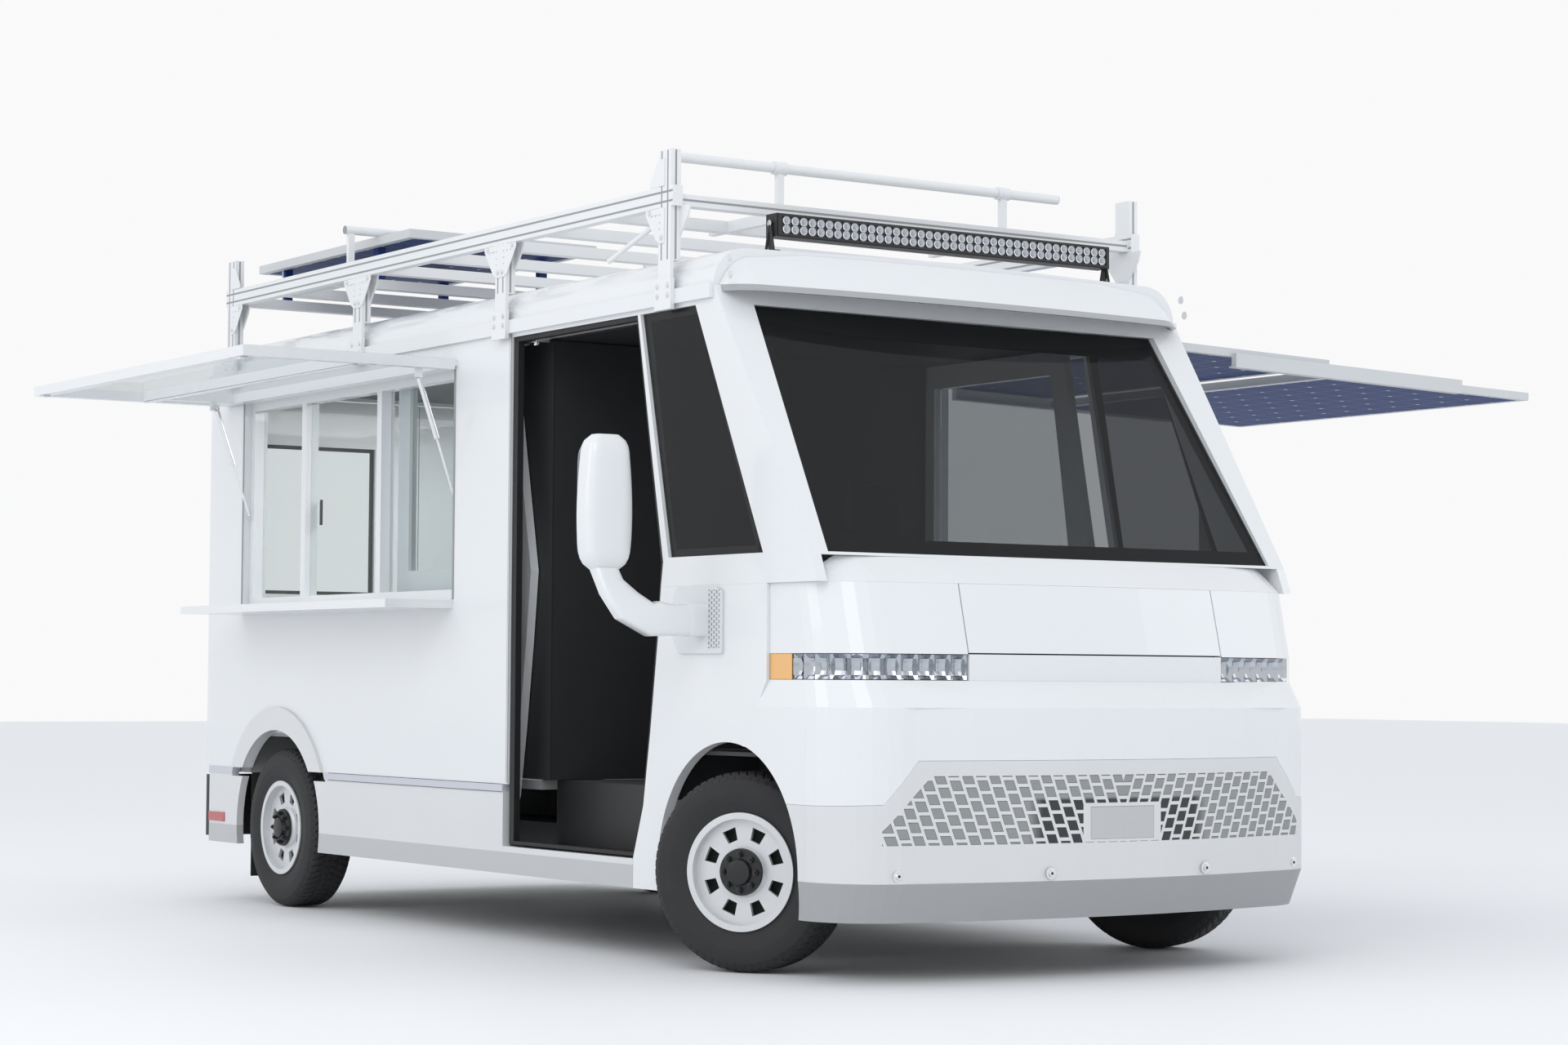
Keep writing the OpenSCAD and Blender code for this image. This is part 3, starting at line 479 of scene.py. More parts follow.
def recolour(material, mask, colour, rough=None, dent=0.0):
    """Where the mask is 1 the finish takes another colour and roughness, and sinks."""
    tree = material.node_tree
    shader = tree.nodes["Principled BSDF"]
    mix = tree.nodes.new("ShaderNodeMix")
    mix.data_type = "RGBA"
    tree.links.new(shader.inputs["Base Color"].links[0].from_socket, mix.inputs["A"])
    mix.inputs["B"].default_value = (*colour, 1)
    tree.links.new(mask, mix.inputs["Factor"])
    tree.links.new(mix.outputs["Result"], shader.inputs["Base Color"])
    if rough is not None:
        level = tree.nodes.new("ShaderNodeMix")
        level.inputs["A"].default_value = shader.inputs["Roughness"].default_value
        if shader.inputs["Roughness"].links:
            tree.links.new(shader.inputs["Roughness"].links[0].from_socket, level.inputs["A"])
        level.inputs["B"].default_value = rough
        tree.links.new(mask, level.inputs["Factor"])
        tree.links.new(level.outputs["Result"], shader.inputs["Roughness"])
    if dent:
        bump = tree.nodes.new("ShaderNodeBump")
        bump.invert = True
        bump.inputs["Strength"].default_value, bump.inputs["Distance"].default_value = 1.0, dent
        tree.links.new(mask, bump.inputs["Height"])
        tree.links.new(shader.inputs["Normal"].links[0].from_socket, bump.inputs["Normal"])
        tree.links.new(bump.outputs["Normal"], shader.inputs["Normal"])


def wear_with(name, finish_made):
    """Gives a measured part its own finish."""
    for node in name.split():
        NODES[node].data.materials[0] = finish_made


print("pattern groups:", len(bpy.data.node_groups))

# %% [markdown]
# The lower bumper panel carries a field of small leaning cells round a blank plate pocket,
# and its foot is darker grey, painted shade along the lower lip. On a real panel all of this
# is one moulding, so it is drawn as tone and relief on the one surface: the cells are darker
# grey as painted shade in the recesses, and in the middle, below 0.665 m, they are painted
# almost black as deeper painted shade. The lean turns over at the middle.

# %% Lower bumper panel
GRILLE = finish("grille panel", (0.66, 0.665, 0.67), 0.48, wear=0.06, bump=0.06)
tree = GRILLE.node_tree
x, y, z = place_on(GRILLE)
off_centre = calc(tree, "ABSOLUTE", x, 0.0)
slope_end = calc(tree, "ADD", 0.80, calc(tree, "MULTIPLY", calc(tree, "SUBTRACT", 0.745, z), 0.95))
field = both_masks(
    tree,
    between(tree, z, 0.500, 0.745),
    between(tree, calc(tree, "SUBTRACT", off_centre, calc(tree, "MINIMUM", slope_end, 0.985)), -5.0, 0.0),
)
front_only = between(tree, y, -1.2, -0.60)
leaned = calc(tree, "SUBTRACT", off_centre, calc(tree, "MULTIPLY", z, 0.36))
holes = cells(GRILLE, z, leaned, 0.049, 0.053, bar=0.012, stagger=0.5)
pocket = both_masks(tree, between(tree, x, -0.185, 0.185), between(tree, z, 0.500, 0.645))
cell_shade = both_masks(tree, field, front_only, holes, calc(tree, "SUBTRACT", 1.0, pocket))
behind_plate = between(tree, off_centre, -1.0, 0.42, 0.06)
deep = both_masks(tree, cell_shade, behind_plate, between(tree, z, 0.0, 0.665, 0.01))
# painted shade: the recessed cells are darker grey, for the shade inside them
recolour(GRILLE, cell_shade, (0.27, 0.28, 0.275), 0.6, dent=0.012)
# painted shade: in the middle, below 0.665 m, the cells are almost black, for the deeper shade in them
recolour(GRILLE, deep, (0.03, 0.03, 0.03), 0.6)
plate_mask = both_masks(tree, between(tree, x, -0.150, 0.150), between(tree, z, 0.511, 0.630), front_only)
recolour(GRILLE, plate_mask, (0.50, 0.505, 0.51), 0.5, dent=0.004)
# painted shade: the panel's foot below 0.366 m is darker grey
recolour(GRILLE, between(tree, z, 0.0, 0.366), (0.36, 0.365, 0.37), 0.6)
wear_with("bumper_lower", GRILLE)


def on_nose(x, proud=0.0, half=1.14, fore=-0.970, corner=0.280, bow=0.110):
    """How far forward the bumper face stands at x: a shallow bow that rises with the square
    of x, then a round corner."""
    x = np.abs(np.asarray(x, float))
    flat = half - corner
    share = x / flat
    bowed = fore + bow * (np.minimum(share, 1) * 0.75) ** 2
    bowed = bowed + bow * 0.4375 * np.clip((share - 0.75) / 0.25, 0, 1)
    over = np.clip(x - flat, 0, corner * 0.999)
    return bowed + corner - np.sqrt(corner**2 - over**2) - proud


SCREW_X = (-0.93, -0.33, 0.41, 0.95)
washer_shape = [(0.0, 0.0), (0.021, 0.0), (0.021, -0.003), (0.014, -0.004), (0.012, -0.010), (0.0, -0.010)]
washer = lathe(washer_shape, 1, ORIGIN, 32)
hexagon = prism(regular(0.006, 6), 1, -0.0105, -0.0098)
places = [(x, float(on_nose(x)) + 0.003, 0.393) for x in SCREW_X]
piece("bumper_screws", copies(washer, places), BRIGHT)
# painted shade: each screw's socket is a thin black hexagon on its head, for the shade in the recess; the same
# black is the real colour of the bar end caps
piece("bumper_screw_sockets", copies(hexagon, places), CAP_BLACK_AND_SOCKET_SHADE)
print("screws on the lower panel:", len(SCREW_X))

# %% [markdown]
# A headlamp is a clear cover over a row of polished bowls. Each bowl is a patch of one
# surface: going along the lamp, the depth rises and falls once for every bowl, and coarse
# steps leave the flat facets that break the light up. The last stretch is amber.


# %% Headlamps
def lamp_path(count, inset):
    """Points along one lamp from its inner end, round the corner, to its side end."""
    half, fore, corner, bow = 1.122 - inset, -0.855 + inset, 0.250 - inset, 0.060
    flat = half - corner
    front = [(x, fore + bow * (x / flat) ** 2) for x in np.linspace(0.605, flat, 24)]
    turns = np.linspace(0, math.pi / 2, 24)[1:]
    turn = [(flat + corner * math.sin(a), fore + bow + corner * (1 - math.cos(a))) for a in turns]
    side = [(half, y) for y in np.linspace(fore + bow + corner, -0.315, 12)[1:]]
    path = np.array(front + turn + side)
    step = np.concatenate([[0], np.cumsum(np.linalg.norm(np.diff(path, axis=0), axis=1))])
    want = np.linspace(0, step[-1], count)
    return np.stack([np.interp(want, step, path[:, i]) for i in (0, 1)], 1), want


def lamp_bowls(bowls, around=6, high=7):
    """A strip of bowls: the inward depth is 26 mm times a hump in height and a hump along
    each bowl."""
    points, along = lamp_path(bowls * around + 1, 0.006)
    tangent = np.gradient(points, axis=0)
    tangent /= np.linalg.norm(tangent, axis=1)[:, None]
    inward = np.stack([-tangent[:, 1], tangent[:, 0]], 1)
    v = np.linspace(0, 1, high)
    u = np.arange(len(points)) / around % 1
    depth = 0.004 + 0.030 * np.sin(np.pi * u)[:, None] ** 0.5 * np.sin(np.pi * v)[None] ** 0.5
    xy = points[:, None] + inward[:, None] * depth[..., None]
    z = np.broadcast_to(1.0875 + 0.090 * v, depth.shape)
    grid = np.concatenate([xy, z[..., None]], 2)
    faces = grid_faces(len(points), high, False, False)
    return grid.reshape(-1, 3), faces


CHROME = finish("lamp reflector", (0.50, 0.52, 0.56), 0.10, metal=1.0, wear=0.0, bump=0.0)
bowls = lamp_bowls(13)
piece("headlamp_bowls", both(bowls), CHROME, smooth=8)
tip_path, _ = lamp_path(160, 0.0005)
tip = tip_path[-26:]
inner_tip = lamp_path(160, 0.004)[0][-26:]
amber = prism(np.concatenate([tip, inner_tip[::-1]]), 2, 1.0865, 1.1785)
piece("headlamp_amber", both(amber), AMBER)
print("bowls in each headlamp:", 13)

# %% [markdown]
# Wheels are pressed steel: a bright disc with eight holes, a dark hub cover over the
# middle and eight nuts round it. Each piece is drawn once about the origin with its outer
# side towards +X, then turned and carried to each of the four places.


# %% Wheels and tyres
AXLE_Z, TRACK, WHEELBASE, INSET = 0.372, 2.03, 3.88, 0.06
STEER = math.radians(30)


def at_wheel(part, side, front):
    """Carries a wheel piece to its place: a half turn for the right side, then the step
    out from the kingpin, and for the front wheels the steering turn about it."""
    points, faces = part
    points = points * [side, side, 1] if side < 0 else points
    if not front:
        return points + [side * TRACK / 2, WHEELBASE, AXLE_Z], faces
    points = points + [side * INSET, 0, AXLE_Z]
    c, s = math.cos(STEER), math.sin(STEER)
    x, y, z = points.T
    turned = np.stack([x * c - y * s, x * s + y * c, z], 1)
    return turned + [side * (TRACK / 2 - INSET), 0, 0], faces


def tyre_skin(around=400):
    """A tyre as radius over angle and over the way across: the measured profile, less the
    tread grooves. Three rings run round; short cuts cross the ribs between them, leaning
    one way on the left and the other way on the right; the shoulders carry lugs."""
    half, outer = 0.1125, 0.372
    shape = np.array(
        [(0.2055, -0.097), (0.224, -0.097), (0.262, -0.1075), (0.292, -half), (0.318, -0.1105)]
        + [(0.342, -half + 0.006), (0.365, -half + 0.024), (outer, -half + 0.042)]
    )
    shape = np.concatenate([shape, shape[::-1] * [1, -1]])
    step = np.concatenate([[0], np.cumsum(np.linalg.norm(np.diff(shape, axis=0), axis=1))])
    t = np.linspace(0, step[-1], 120)
    r, x = np.interp(t, step, shape[:, 0]), np.interp(t, step, shape[:, 1])
    a = np.linspace(0, 2 * np.pi, around, endpoint=False)[:, None]
    rings = np.min([np.abs(x - g) for g in (-0.034, 0.0, 0.034)], axis=0) < 0.0035
    cuts = (np.mod(a / (2 * np.pi) * 66 + np.abs(x) * 14, 1) < 0.17) & (np.abs(x) > 0.006)
    tread = (r > 0.360) & (rings | cuts)
    lugs = (r > 0.338) & (r <= 0.360) & (np.mod(a / (2 * np.pi) * 66, 1) < 0.2)
    ribs = 0.0012 * ((np.abs(r - 0.330) < 0.003) | (np.abs(r - 0.252) < 0.003))
    r = r - 0.007 * tread - 0.004 * lugs - 0.001 + ribs
    x = np.broadcast_to(x, r.shape)
    points = np.stack([x, r * np.cos(a), r * np.sin(a)], 2)
    return points.reshape(-1, 3), grid_faces(*points.shape[:2])


TYRE = tyre_skin(400)
HUB_SHAPE = [(0.0, 0.0885), (0.088, 0.0885), (0.086, 0.100), (0.050, 0.104)]
HUB_SHAPE += [(0.046, 0.120), (0.030, 0.124), (0.0, 0.124)]
HUB = lathe(HUB_SHAPE, 0, ORIGIN, 64)
spots = [(0.0, *spot) for spot in regular(0.067, 8)]
nut = prism(regular(0.0115, 6), 0, 0.100, 0.117)
stud = lathe([(0.0, 0.115), (0.006, 0.115), (0.006, 0.122), (0.004, 0.124), (0.0, 0.124)], 0, ORIGIN, 16)
HUB_BLACK = finish("hub cover", (0.022, 0.022, 0.024), 0.4, metal=0.3, wear=0.2)
NUT_DARK = finish("wheel nuts", (0.055, 0.056, 0.06), 0.3, metal=0.8, wear=0.1)
BACK = lathe([(0.0, 0.005), (0.196, 0.005), (0.196, 0.012), (0.0, 0.012)], 0, (0, 0, 0), 64)
for end, front in (("front", True), ("rear", False)):
    for hand, side in (("right", -1), ("left", 1)):
        wheel = f"wheel_{end}_{hand}"
        skin = piece(f"tread_{end}_{hand}", at_wheel(TYRE, side, front), RUBBER, wheel, smooth=28)
        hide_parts(f"tyre_{end}_{hand}")
        piece(f"hub_{end}_{hand}", at_wheel(HUB, side, front), HUB_BLACK, wheel)
        piece(f"nuts_{end}_{hand}", at_wheel(copies(join([nut, stud]), spots), side, front), NUT_DARK, wheel)
        piece(f"brake_{end}_{hand}", at_wheel(BACK, side, front), CHASSIS, wheel)
print("tyre faces:", len(TYRE[1]))

# %% [markdown]
# The mirror is a blown plastic shell on a cast arm. The head is a loft: rounded rectangles
# stacked up, pulled in at both ends. The arm is a second loft that drops from the head,
# bends and runs in to a perforated plate on the door pillar.

# %% Mirrors
head_rings = []
for t in np.linspace(0, 1, 24):
    shrink = (1 - abs(2 * t - 1) ** 9) ** 0.32 if 0 < t < 1 else 0.55
    shrink = max(shrink, 0.55)
    wide = 0.100 * (0.88 + 0.12 * math.sin(math.pi * min(t * 1.2, 1)))
    centre = (-1.525, 0.200, 1.487 + 0.505 * t)
    head_rings.append(soft_ring(centre, (wide * shrink, 0, 0), (0, 0.060 * shrink, 0), 4.5))
arm_stops = [
    ((-1.530, 0.195, 1.495), (0.048, 0, 0), (0, 0.040, 0)),
    ((-1.522, 0.180, 1.462), (0.054, 0, -0.004), (0, 0.040, 0.008)),
    ((-1.490, 0.150, 1.400), (0.070, 0, 0.010), (0, 0.040, 0.008)),
    ((-1.440, 0.120, 1.335), (0.072, 0, 0.030), (0, 0.038, 0)),
    ((-1.370, 0.110, 1.308), (0.020, 0, 0.066), (0, 0.036, 0)),
    ((-1.300, 0.108, 1.305), (0.0, 0, 0.060), (0, 0.036, 0)),
    ((-1.215, 0.108, 1.305), (0.0, 0, 0.058), (0, 0.035, 0)),
]
arm = loft([soft_ring(*stop, 5.0, 40) for stop in arm_stops])
cuff_x = (-1.220, -1.218, -1.152, -1.148)
cuff = loft([soft_ring((x, 0.115, 1.305), (0, 0, 0.062), (0, 0.046, 0), 7.0, 40) for x in cuff_x])
plate_shape = [(-0.020, 1.180), (0.275, 1.180), (0.320, 1.235), (0.320, 1.400), (0.295, 1.430)]
plate_shape += [(0.020, 1.430), (-0.020, 1.415)]
plate = prism(plate_shape, 0, -1.1490, -1.1355)
heads = piece("mirror_heads", both(loft(head_rings)), BODY)
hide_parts("mirrors")
piece("mirror_arms", both(join([arm, cuff])), BODY, bevel=0.002)
PLATE = finish("mirror plate", (0.70, 0.71, 0.72), 0.5)
tree = PLATE.node_tree
x, y, z = place_on(PLATE)
holes = cells(PLATE, z, y, 0.020, 0.0175, bar=0.007, stagger=0.5)
hole_shade = both_masks(tree, holes, between(tree, y, -0.012, 0.075), between(tree, z, 1.20, 1.42))
# painted shade: the perforations are a darker grey with a dent, for the shade inside the holes
recolour(PLATE, hole_shade, (0.32, 0.33, 0.34), 0.6, dent=0.003)
piece("mirror_plates", both(plate), PLATE, bevel=0.002)
glass_outline = soft_ring((-1.525, 0, 1.74), (0.082, 0, 0), (0, 0, 0.215), 7, 40)[:, [0, 2]]
glass_face = prism(glass_outline, 1, 0.2590, 0.2615)
piece("mirror_glass", both(glass_face), CHROME)
print("mirror points:", len(head_rings) * 48)

# %% [markdown]
# The windscreen is bonded glass: a black printed border hides the glue, and the tint lets
# the wheel and the seats show faintly behind it. The sheet leans back, so every point on
# it has a depth that follows from its height alone.


# %% Glass borders
def on_screen(points, depth):
    """Points given by (x, z) laid on the leaning sheet, `depth` metres behind its face."""
    points = np.asarray(points, float)
    lean = (0.062 + 0.583) / (2.514 - 1.537)
    y = -0.583 + (points[:, 1] - 1.537) * lean + depth
    return np.stack([points[:, 0], y, points[:, 1]], 1)


def screen_frame(outer, inner, front, back):
    """A flat frame on the leaning sheet: both outlines run the same way round."""
    n = len(outer)
    rings = [on_screen(outer, front), on_screen(inner, front), on_screen(inner, back), on_screen(outer, back)]
    pairs = ((0, 1), (1, 2), (2, 3), (3, 0))
    steps = [(i, (i + 1) % n) for i in range(n)]
    faces = [(a * n + i, a * n + k, b * n + k, b * n + i) for a, b in pairs for i, k in steps]
    return np.concatenate(rings), faces


outer = [(-1.0585, 1.5475), (1.0585, 1.5475), (0.9835, 2.4985), (-0.9835, 2.4985)]
inner = [(-1.002, 1.600), (1.002, 1.600), (0.935, 2.400), (-0.935, 2.400)]
piece("windscreen_border", screen_frame(outer, inner, 0.0074, 0.0090), BLACK)
quarter = np.array([(-0.2805, 1.5505), (0.1955, 2.5035), (0.5985, 2.5035), (0.3755, 1.5505)])
inset_quarter = quarter.mean(0) + (quarter - quarter.mean(0)) * [0.86, 0.94]
piece("quarter_borders", both(prism(quarter, 0, -1.1175, -1.1155, holes=[inset_quarter])), BLACK)
print("borders laid")

# %% [markdown]
# Inside the cab everything is dark: headlining, pillar covers and a dark wall behind the
# seats. They are thin linings over the inner faces of the measured plates.

# %% Cab lining
roof_liner = prism([(0.130, 2.500), (1.585, 2.500), (1.585, 2.506), (0.130, 2.506)], 0, -0.970, 0.970)
pillar = prism([(1.560, 0.665), (1.585, 0.665), (1.585, 2.50), (1.560, 2.50)], 0, -0.975, -0.760)
back_wall = prism([(-0.975, 0.662), (-0.045, 0.662), (-0.045, 2.495), (-0.975, 2.495)], 1, 1.552, 1.560)
front_wall = box((-0.97, -0.455, 0.830), (0.97, -0.425, 1.34))
seal_frame = np.array(
    [(0.623, 0.398), (0.556, 0.60), (0.508, 0.88), (0.458, 1.236), (0.424, 1.534)]
    + [(0.528, 2.02), (0.628, 2.503), (1.628, 2.503), (1.628, 0.398)]
)
seal_inner = seal_frame.mean(0) + (seal_frame - seal_frame.mean(0)) * [0.955, 0.985]
seal = prism(seal_frame, 0, -1.128, -1.100, holes=[seal_inner])
step_edge = box((-1.093, 0.57, 0.3903), (-0.905, 1.62, 0.3915))
risers = box((-0.9035, 0.57, 0.395), (-0.9005, 1.62, 0.659))
piece("cab_lining", join([roof_liner, pillar, back_wall, front_wall]), LINING)
piece("door_seal", seal, SEAL)
piece("cab_step", join([step_edge, risers]), BLACK, bevel=0.001)
print("lining pieces done")

# %% [markdown]
# The rack is built from slotted aluminium bars. Each bar shows slots along its
# length, and each joint carries cap screws. A slot is drawn as a shallow strip with its own
# edges, grey as painted shade inside the groove; a screw is a turned head.

# %% Roof rack
RACK_X, RACK_Z = 1.140, 2.900
POSTS = (0.380, 1.690, 3.040, 4.440)
# painted shade: the slot strips are grey for the shade inside the grooves; the same grey is the plain colour
# of the tube caps and trims
SLOT_SHADE_AND_GREY = finish("rack slot shade and plain grey", (0.30, 0.305, 0.31), 0.6)
slots = []
for z in (RACK_Z + 0.020, RACK_Z + 0.058):
    slots.append(box((-RACK_X - 0.0230, 0.322, z - 0.004), (-RACK_X - 0.0224, 4.498, z + 0.004)))
    slots.append(box((-RACK_X + 0.0224, 0.322, z - 0.004), (-RACK_X + 0.0230, 4.498, z + 0.004)))
for i, y in enumerate(POSTS):
    top = 3.118 if i in (0, 3) else RACK_Z
    for dy in (-0.022, 0.022):
        slots.append(box((-RACK_X - 0.0232, y + dy - 0.004, 2.695), (-RACK_X - 0.0224, y + dy + 0.004, top)))
    slots.append(box((-RACK_X - 0.004, y - 0.0458, 2.695), (-RACK_X + 0.004, y - 0.0449, top)))
slots.append(box((-RACK_X + 0.03, 0.3392, RACK_Z + 0.024), (0.0, 0.3402, RACK_Z + 0.032)))
piece("rack_slots", both(join(slots)), SLOT_SHADE_AND_GREY)
star_turns = zip(np.arange(16) * math.pi / 8, (0.021, 0.008, 0.015, 0.008) * 4)
star = [(r * math.cos(a), RACK_Z + 0.040 + r * math.sin(a)) for a, r in star_turns]
stars = prism([(x - RACK_X, z) for x, z in star], 1, 0.3335, 0.3345)
piece("rack_bar_ends", both(stars), CAP_BLACK_AND_SOCKET_SHADE)


def cap_screws(places, axis, radius=0.008, out=-1):
    """Cap screws: heads stand 5 mm out along the axis."""
    flange, rim = radius * 1.5, radius * 0.9
    shape = [(0.0, 0.0), (flange, 0.0), (flange, out * 0.0015), (radius, out * 0.002)]
    shape += [(rim, out * 0.005), (0.0, out * 0.005)]
    head = lathe(shape, axis, ORIGIN, 20)
    return copies(head, places)


screws = []
for y in POSTS:
    screws += [(-RACK_X - 0.0305, y + dy, 2.555 + dz) for dy in (-0.038, 0.038) for dz in (0.0, 0.038)]
gussets = []
for i, y in enumerate(POSTS):
    top = i in (0, 3)
    for s in (-1, 1):
        if (i == 0 and s < 0) or (i == 3 and s > 0):
            continue
        shape = [(0, -0.002), (0.135, -0.002), (0.135, -0.022), (0.060, -0.125), (0.030, -0.140), (0, -0.140)]
        shape = np.array(shape) * [s, 1] + [y, RACK_Z]
        spots = [(s * (0.030 + k * 0.030), -0.030) for k in range(3)]
        spots += [(s * 0.032, -0.058 - 0.026 * k) for k in range(2)]
        holes = [regular(0.004, 8, (y + dy, RACK_Z + dz)) for dy, dz in spots]
        gussets.append(prism(shape, 0, -RACK_X - 0.0265, -RACK_X - 0.0225, holes=holes))
        for dy, dz in ((0.105, -0.014), (0.018, -0.118)):
            screws.append((-RACK_X - 0.0265, y + s * dy, RACK_Z + dz))
        if top:
            up = [(0, 0.082), (0.105, 0.082), (0.105, 0.100), (0.050, 0.180), (0.0, 0.190)]
            up = np.array(up) * [s, 1] + [y, RACK_Z]
            gussets.append(prism(up, 0, -RACK_X - 0.0262, -RACK_X - 0.0225))
piece("rack_gussets", both(join(gussets)), RACK, bevel=0.001)
piece("rack_screws", both(cap_screws(screws, 0)), BRIGHT)
clamp_shape = [(0.0205, -0.03), (0.027, -0.03), (0.027, 0.03), (0.0205, 0.03)]
clamps = [lathe(clamp_shape, 0, (x, 0.490, 3.120), 24) for x in (-0.560, 0.560)]
piece("tube_clamps", join(clamps), RACK)
caps = [
    lathe([(0.0, 0.0), (0.0195, 0.0), (0.0195, s * 0.002), (0.0, s * 0.002)], 0, (x, y, z), 24)
    for x, s in ((-1.080, -1), (0.850, 1))
    for y, z in ((0.490, 3.120), (3.350, 3.1603))
]
piece("tube_caps", join(caps), SLOT_SHADE_AND_GREY)
piece("rack_prop", join([rod((-1.120, 0.400, 2.885), (-1.150, 0.820, 2.735), 0.010, 12)]), RACK)
print("rack screws:", 2 * len(screws), "gussets:", 2 * len(gussets))

# %% [markdown]
# The light bar is a finned black housing with two rows of round lamps. One lamp is a
# turned bowl with a clear dome; the rows are copies of it.

# %% Light bar
BAR_HALF, BAR_Y, BAR_Z = 0.823, 0.110, 2.785
bezel_outline = oblong(-BAR_HALF + 0.004, BAR_Z + 0.003, BAR_HALF - 0.004, BAR_Z + 0.087)
bezel_window = oblong(-BAR_HALF + 0.020, BAR_Z + 0.012, BAR_HALF - 0.020, BAR_Z + 0.078)
bezel = prism(bezel_outline, 1, BAR_Y - 0.006, BAR_Y, holes=[bezel_window])
lamp_x = np.linspace(-BAR_HALF + 0.042, BAR_HALF - 0.042, 40)
lamp_places = [(x, BAR_Y, BAR_Z + h) for x in lamp_x for h in (0.029, 0.062)]
bowl_shape = [(0.0155, -0.005), (0.0175, -0.005), (0.0175, 0.0), (0.0, 0.0), (0.0, -0.0012), (0.0095, -0.0014)]
bowl = lathe(bowl_shape, 1, ORIGIN, 20)
dome_shape = [(0.0, -0.0050), (0.005, -0.0045), (0.0085, -0.003), (0.0095, -0.0012), (0.0, -0.0012)]
dome = lathe(dome_shape, 1, ORIGIN, 16)
DOME = finish("lamp dome", (0.30, 0.31, 0.33), 0.08, coat=1.0, wear=0.0, bump=0.0)
piece("light_bar_bezel", bezel, BLACK, bevel=0.0015)
piece("light_bar_bowls", copies(bowl, lamp_places), CHROME)
piece("light_bar_domes", copies(dome, lamp_places), DOME)
fin = box((-BAR_HALF + 0.01, 0.0, -0.002), (BAR_HALF - 0.01, 0.012, 0.002))
fins = copies(fin, [(0, BAR_Y + 0.0755, BAR_Z + h) for h in np.linspace(0.01, 0.08, 8)])
feet = []
for s in (-1, 1):
    x = s * (BAR_HALF + 0.007)
    for dy in (-0.028, 0.028):
        feet.append(tube([(x, BAR_Y + 0.038 + dy, 2.722), (x, BAR_Y + 0.038, BAR_Z + 0.055)], 0.006, 8))
piece("light_bar_fins", join([fins] + feet), BLACK)
pivot = (-BAR_HALF - 0.009, BAR_Y + 0.038, BAR_Z + 0.052)
piece("light_bar_bolts", cap_screws([pivot], 0, 0.009), BRIGHT)
print("lamps in the light bar:", len(lamp_places))

# %% [markdown]
# Solar modules are dark blue cells under glass in a grey frame. Thin pale lines part the
# cells, and the corners that were cut off each round wafer leave small white diamonds. The
# modules show their cells on both faces.


# %% Solar modules
def solar(name, x0, x1, y0, y1, nx, ny, edge=0.035):
    """A module finish between two corners: nx by ny cells, a frame `edge` wide."""
    made = finish(name, (0.62, 0.63, 0.64), 0.5, wear=0.05, Specular_IOR_Level=0.08)
    tree = made.node_tree
    x, y, z = place_on(made)
    u, v = calc(tree, "SUBTRACT", x, x0 + edge), calc(tree, "SUBTRACT", y, y0 + edge)
    wide, high = (x1 - x0 - 2 * edge) / nx, (y1 - y0 - 2 * edge) / ny
    long, broad = x1 - x0 - 2 * edge, y1 - y0 - 2 * edge
    inside = both_masks(tree, between(tree, u, 0.0, long), between(tree, v, 0.0, broad))
    recolour(made, inside, (0.10, 0.16, 0.34), 0.5)
    cell = cells(made, u, v, wide, high, bar=0.004)
    recolour(made, both_masks(tree, inside, cell), (0.012, 0.035, 0.150), 0.5)
    fine = cells(made, u, v, wide, high / 3, bar=0.0012)
    recolour(made, both_masks(tree, inside, cell, calc(tree, "SUBTRACT", 1.0, fine)), (0.035, 0.06, 0.19), 0.5)
    to_side, to_end = (
        calc(tree, "MULTIPLY", calc(tree, "PINGPONG", calc(tree, "DIVIDE", t, size), 0.5), size)
        for t, size in ((u, wide), (v, high))
    )
    corner = calc(tree, "ADD", to_side, to_end)
    recolour(made, both_masks(tree, inside, between(tree, corner, -1.0, 0.013)), (0.70, 0.74, 0.80), 0.5)
    return made


wear_with("roof_panel", solar("roof module", -0.920, 0.070, 3.005, 4.655, 6, 10))
INNER_TIP, OUTER_TIP = 1.190 + 1.000 * math.cos(math.radians(1.6)), 1.190 + 2.250 * math.cos(math.radians(1.6))
wear_with("canopy_inner", solar("inner canopy module", 1.190, INNER_TIP, 0.250, 2.220, 6, 12))
wear_with("canopy_outer", solar("outer canopy module", INNER_TIP + 0.010, OUTER_TIP, 0.250, 2.220, 7, 12))
print("solar modules finished")

# %% [markdown]
# The driver's seat is foam under stretched cloth, so no face of it is flat. The cushion is
# a stack of rounded rectangles that swell in the middle and pull in at the welted edges;
# the back is a second stack that leans away as it rises.

# %% Driver's seat
SEAT_X = 0.450


def pad(foot, top, wide, deep, lean=0.0, crown=0.9):
    """Rounded rectangles from foot to top about (x, y): each grows as the sine of its
    place in the stack, raised to a small power, so the middle is full and the ends round."""
    (x, y, z0), z1 = foot, top
    rings = []
    for t in np.linspace(0, 1, 18):
        grow = crown + (1 - crown) * math.sin(math.pi * t) ** 0.5
        close = 0.90 + 0.10 * math.sin(math.pi * t) ** 0.25
        size = grow * close
        centre = (x, y + lean * t, z0 + (z1 - z0) * t)
        rings.append(soft_ring(centre, (wide * size, 0, 0), (0, deep * size, 0), 5))
    return loft(rings)


seat = join(
    [
        pad((SEAT_X, 0.895, 0.955), 1.058, 0.248, 0.252, crown=0.93),
        pad((SEAT_X, 1.135, 1.062), 1.715, 0.243, 0.052, lean=0.105, crown=0.85),
        pad((SEAT_X, 1.248, 1.722), 1.925, 0.138, 0.030, lean=0.022, crown=0.85),
    ]
)
seat_made = piece("seat_pads", seat, SEAT, smooth=50)
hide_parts("driver_seat")
piece("seat_base", join([box((SEAT_X - 0.20, 0.70, 0.661), (SEAT_X + 0.20, 1.10, 0.955))]), BLACK, bevel=0.01)
print("seat points:", len(seat[0]))
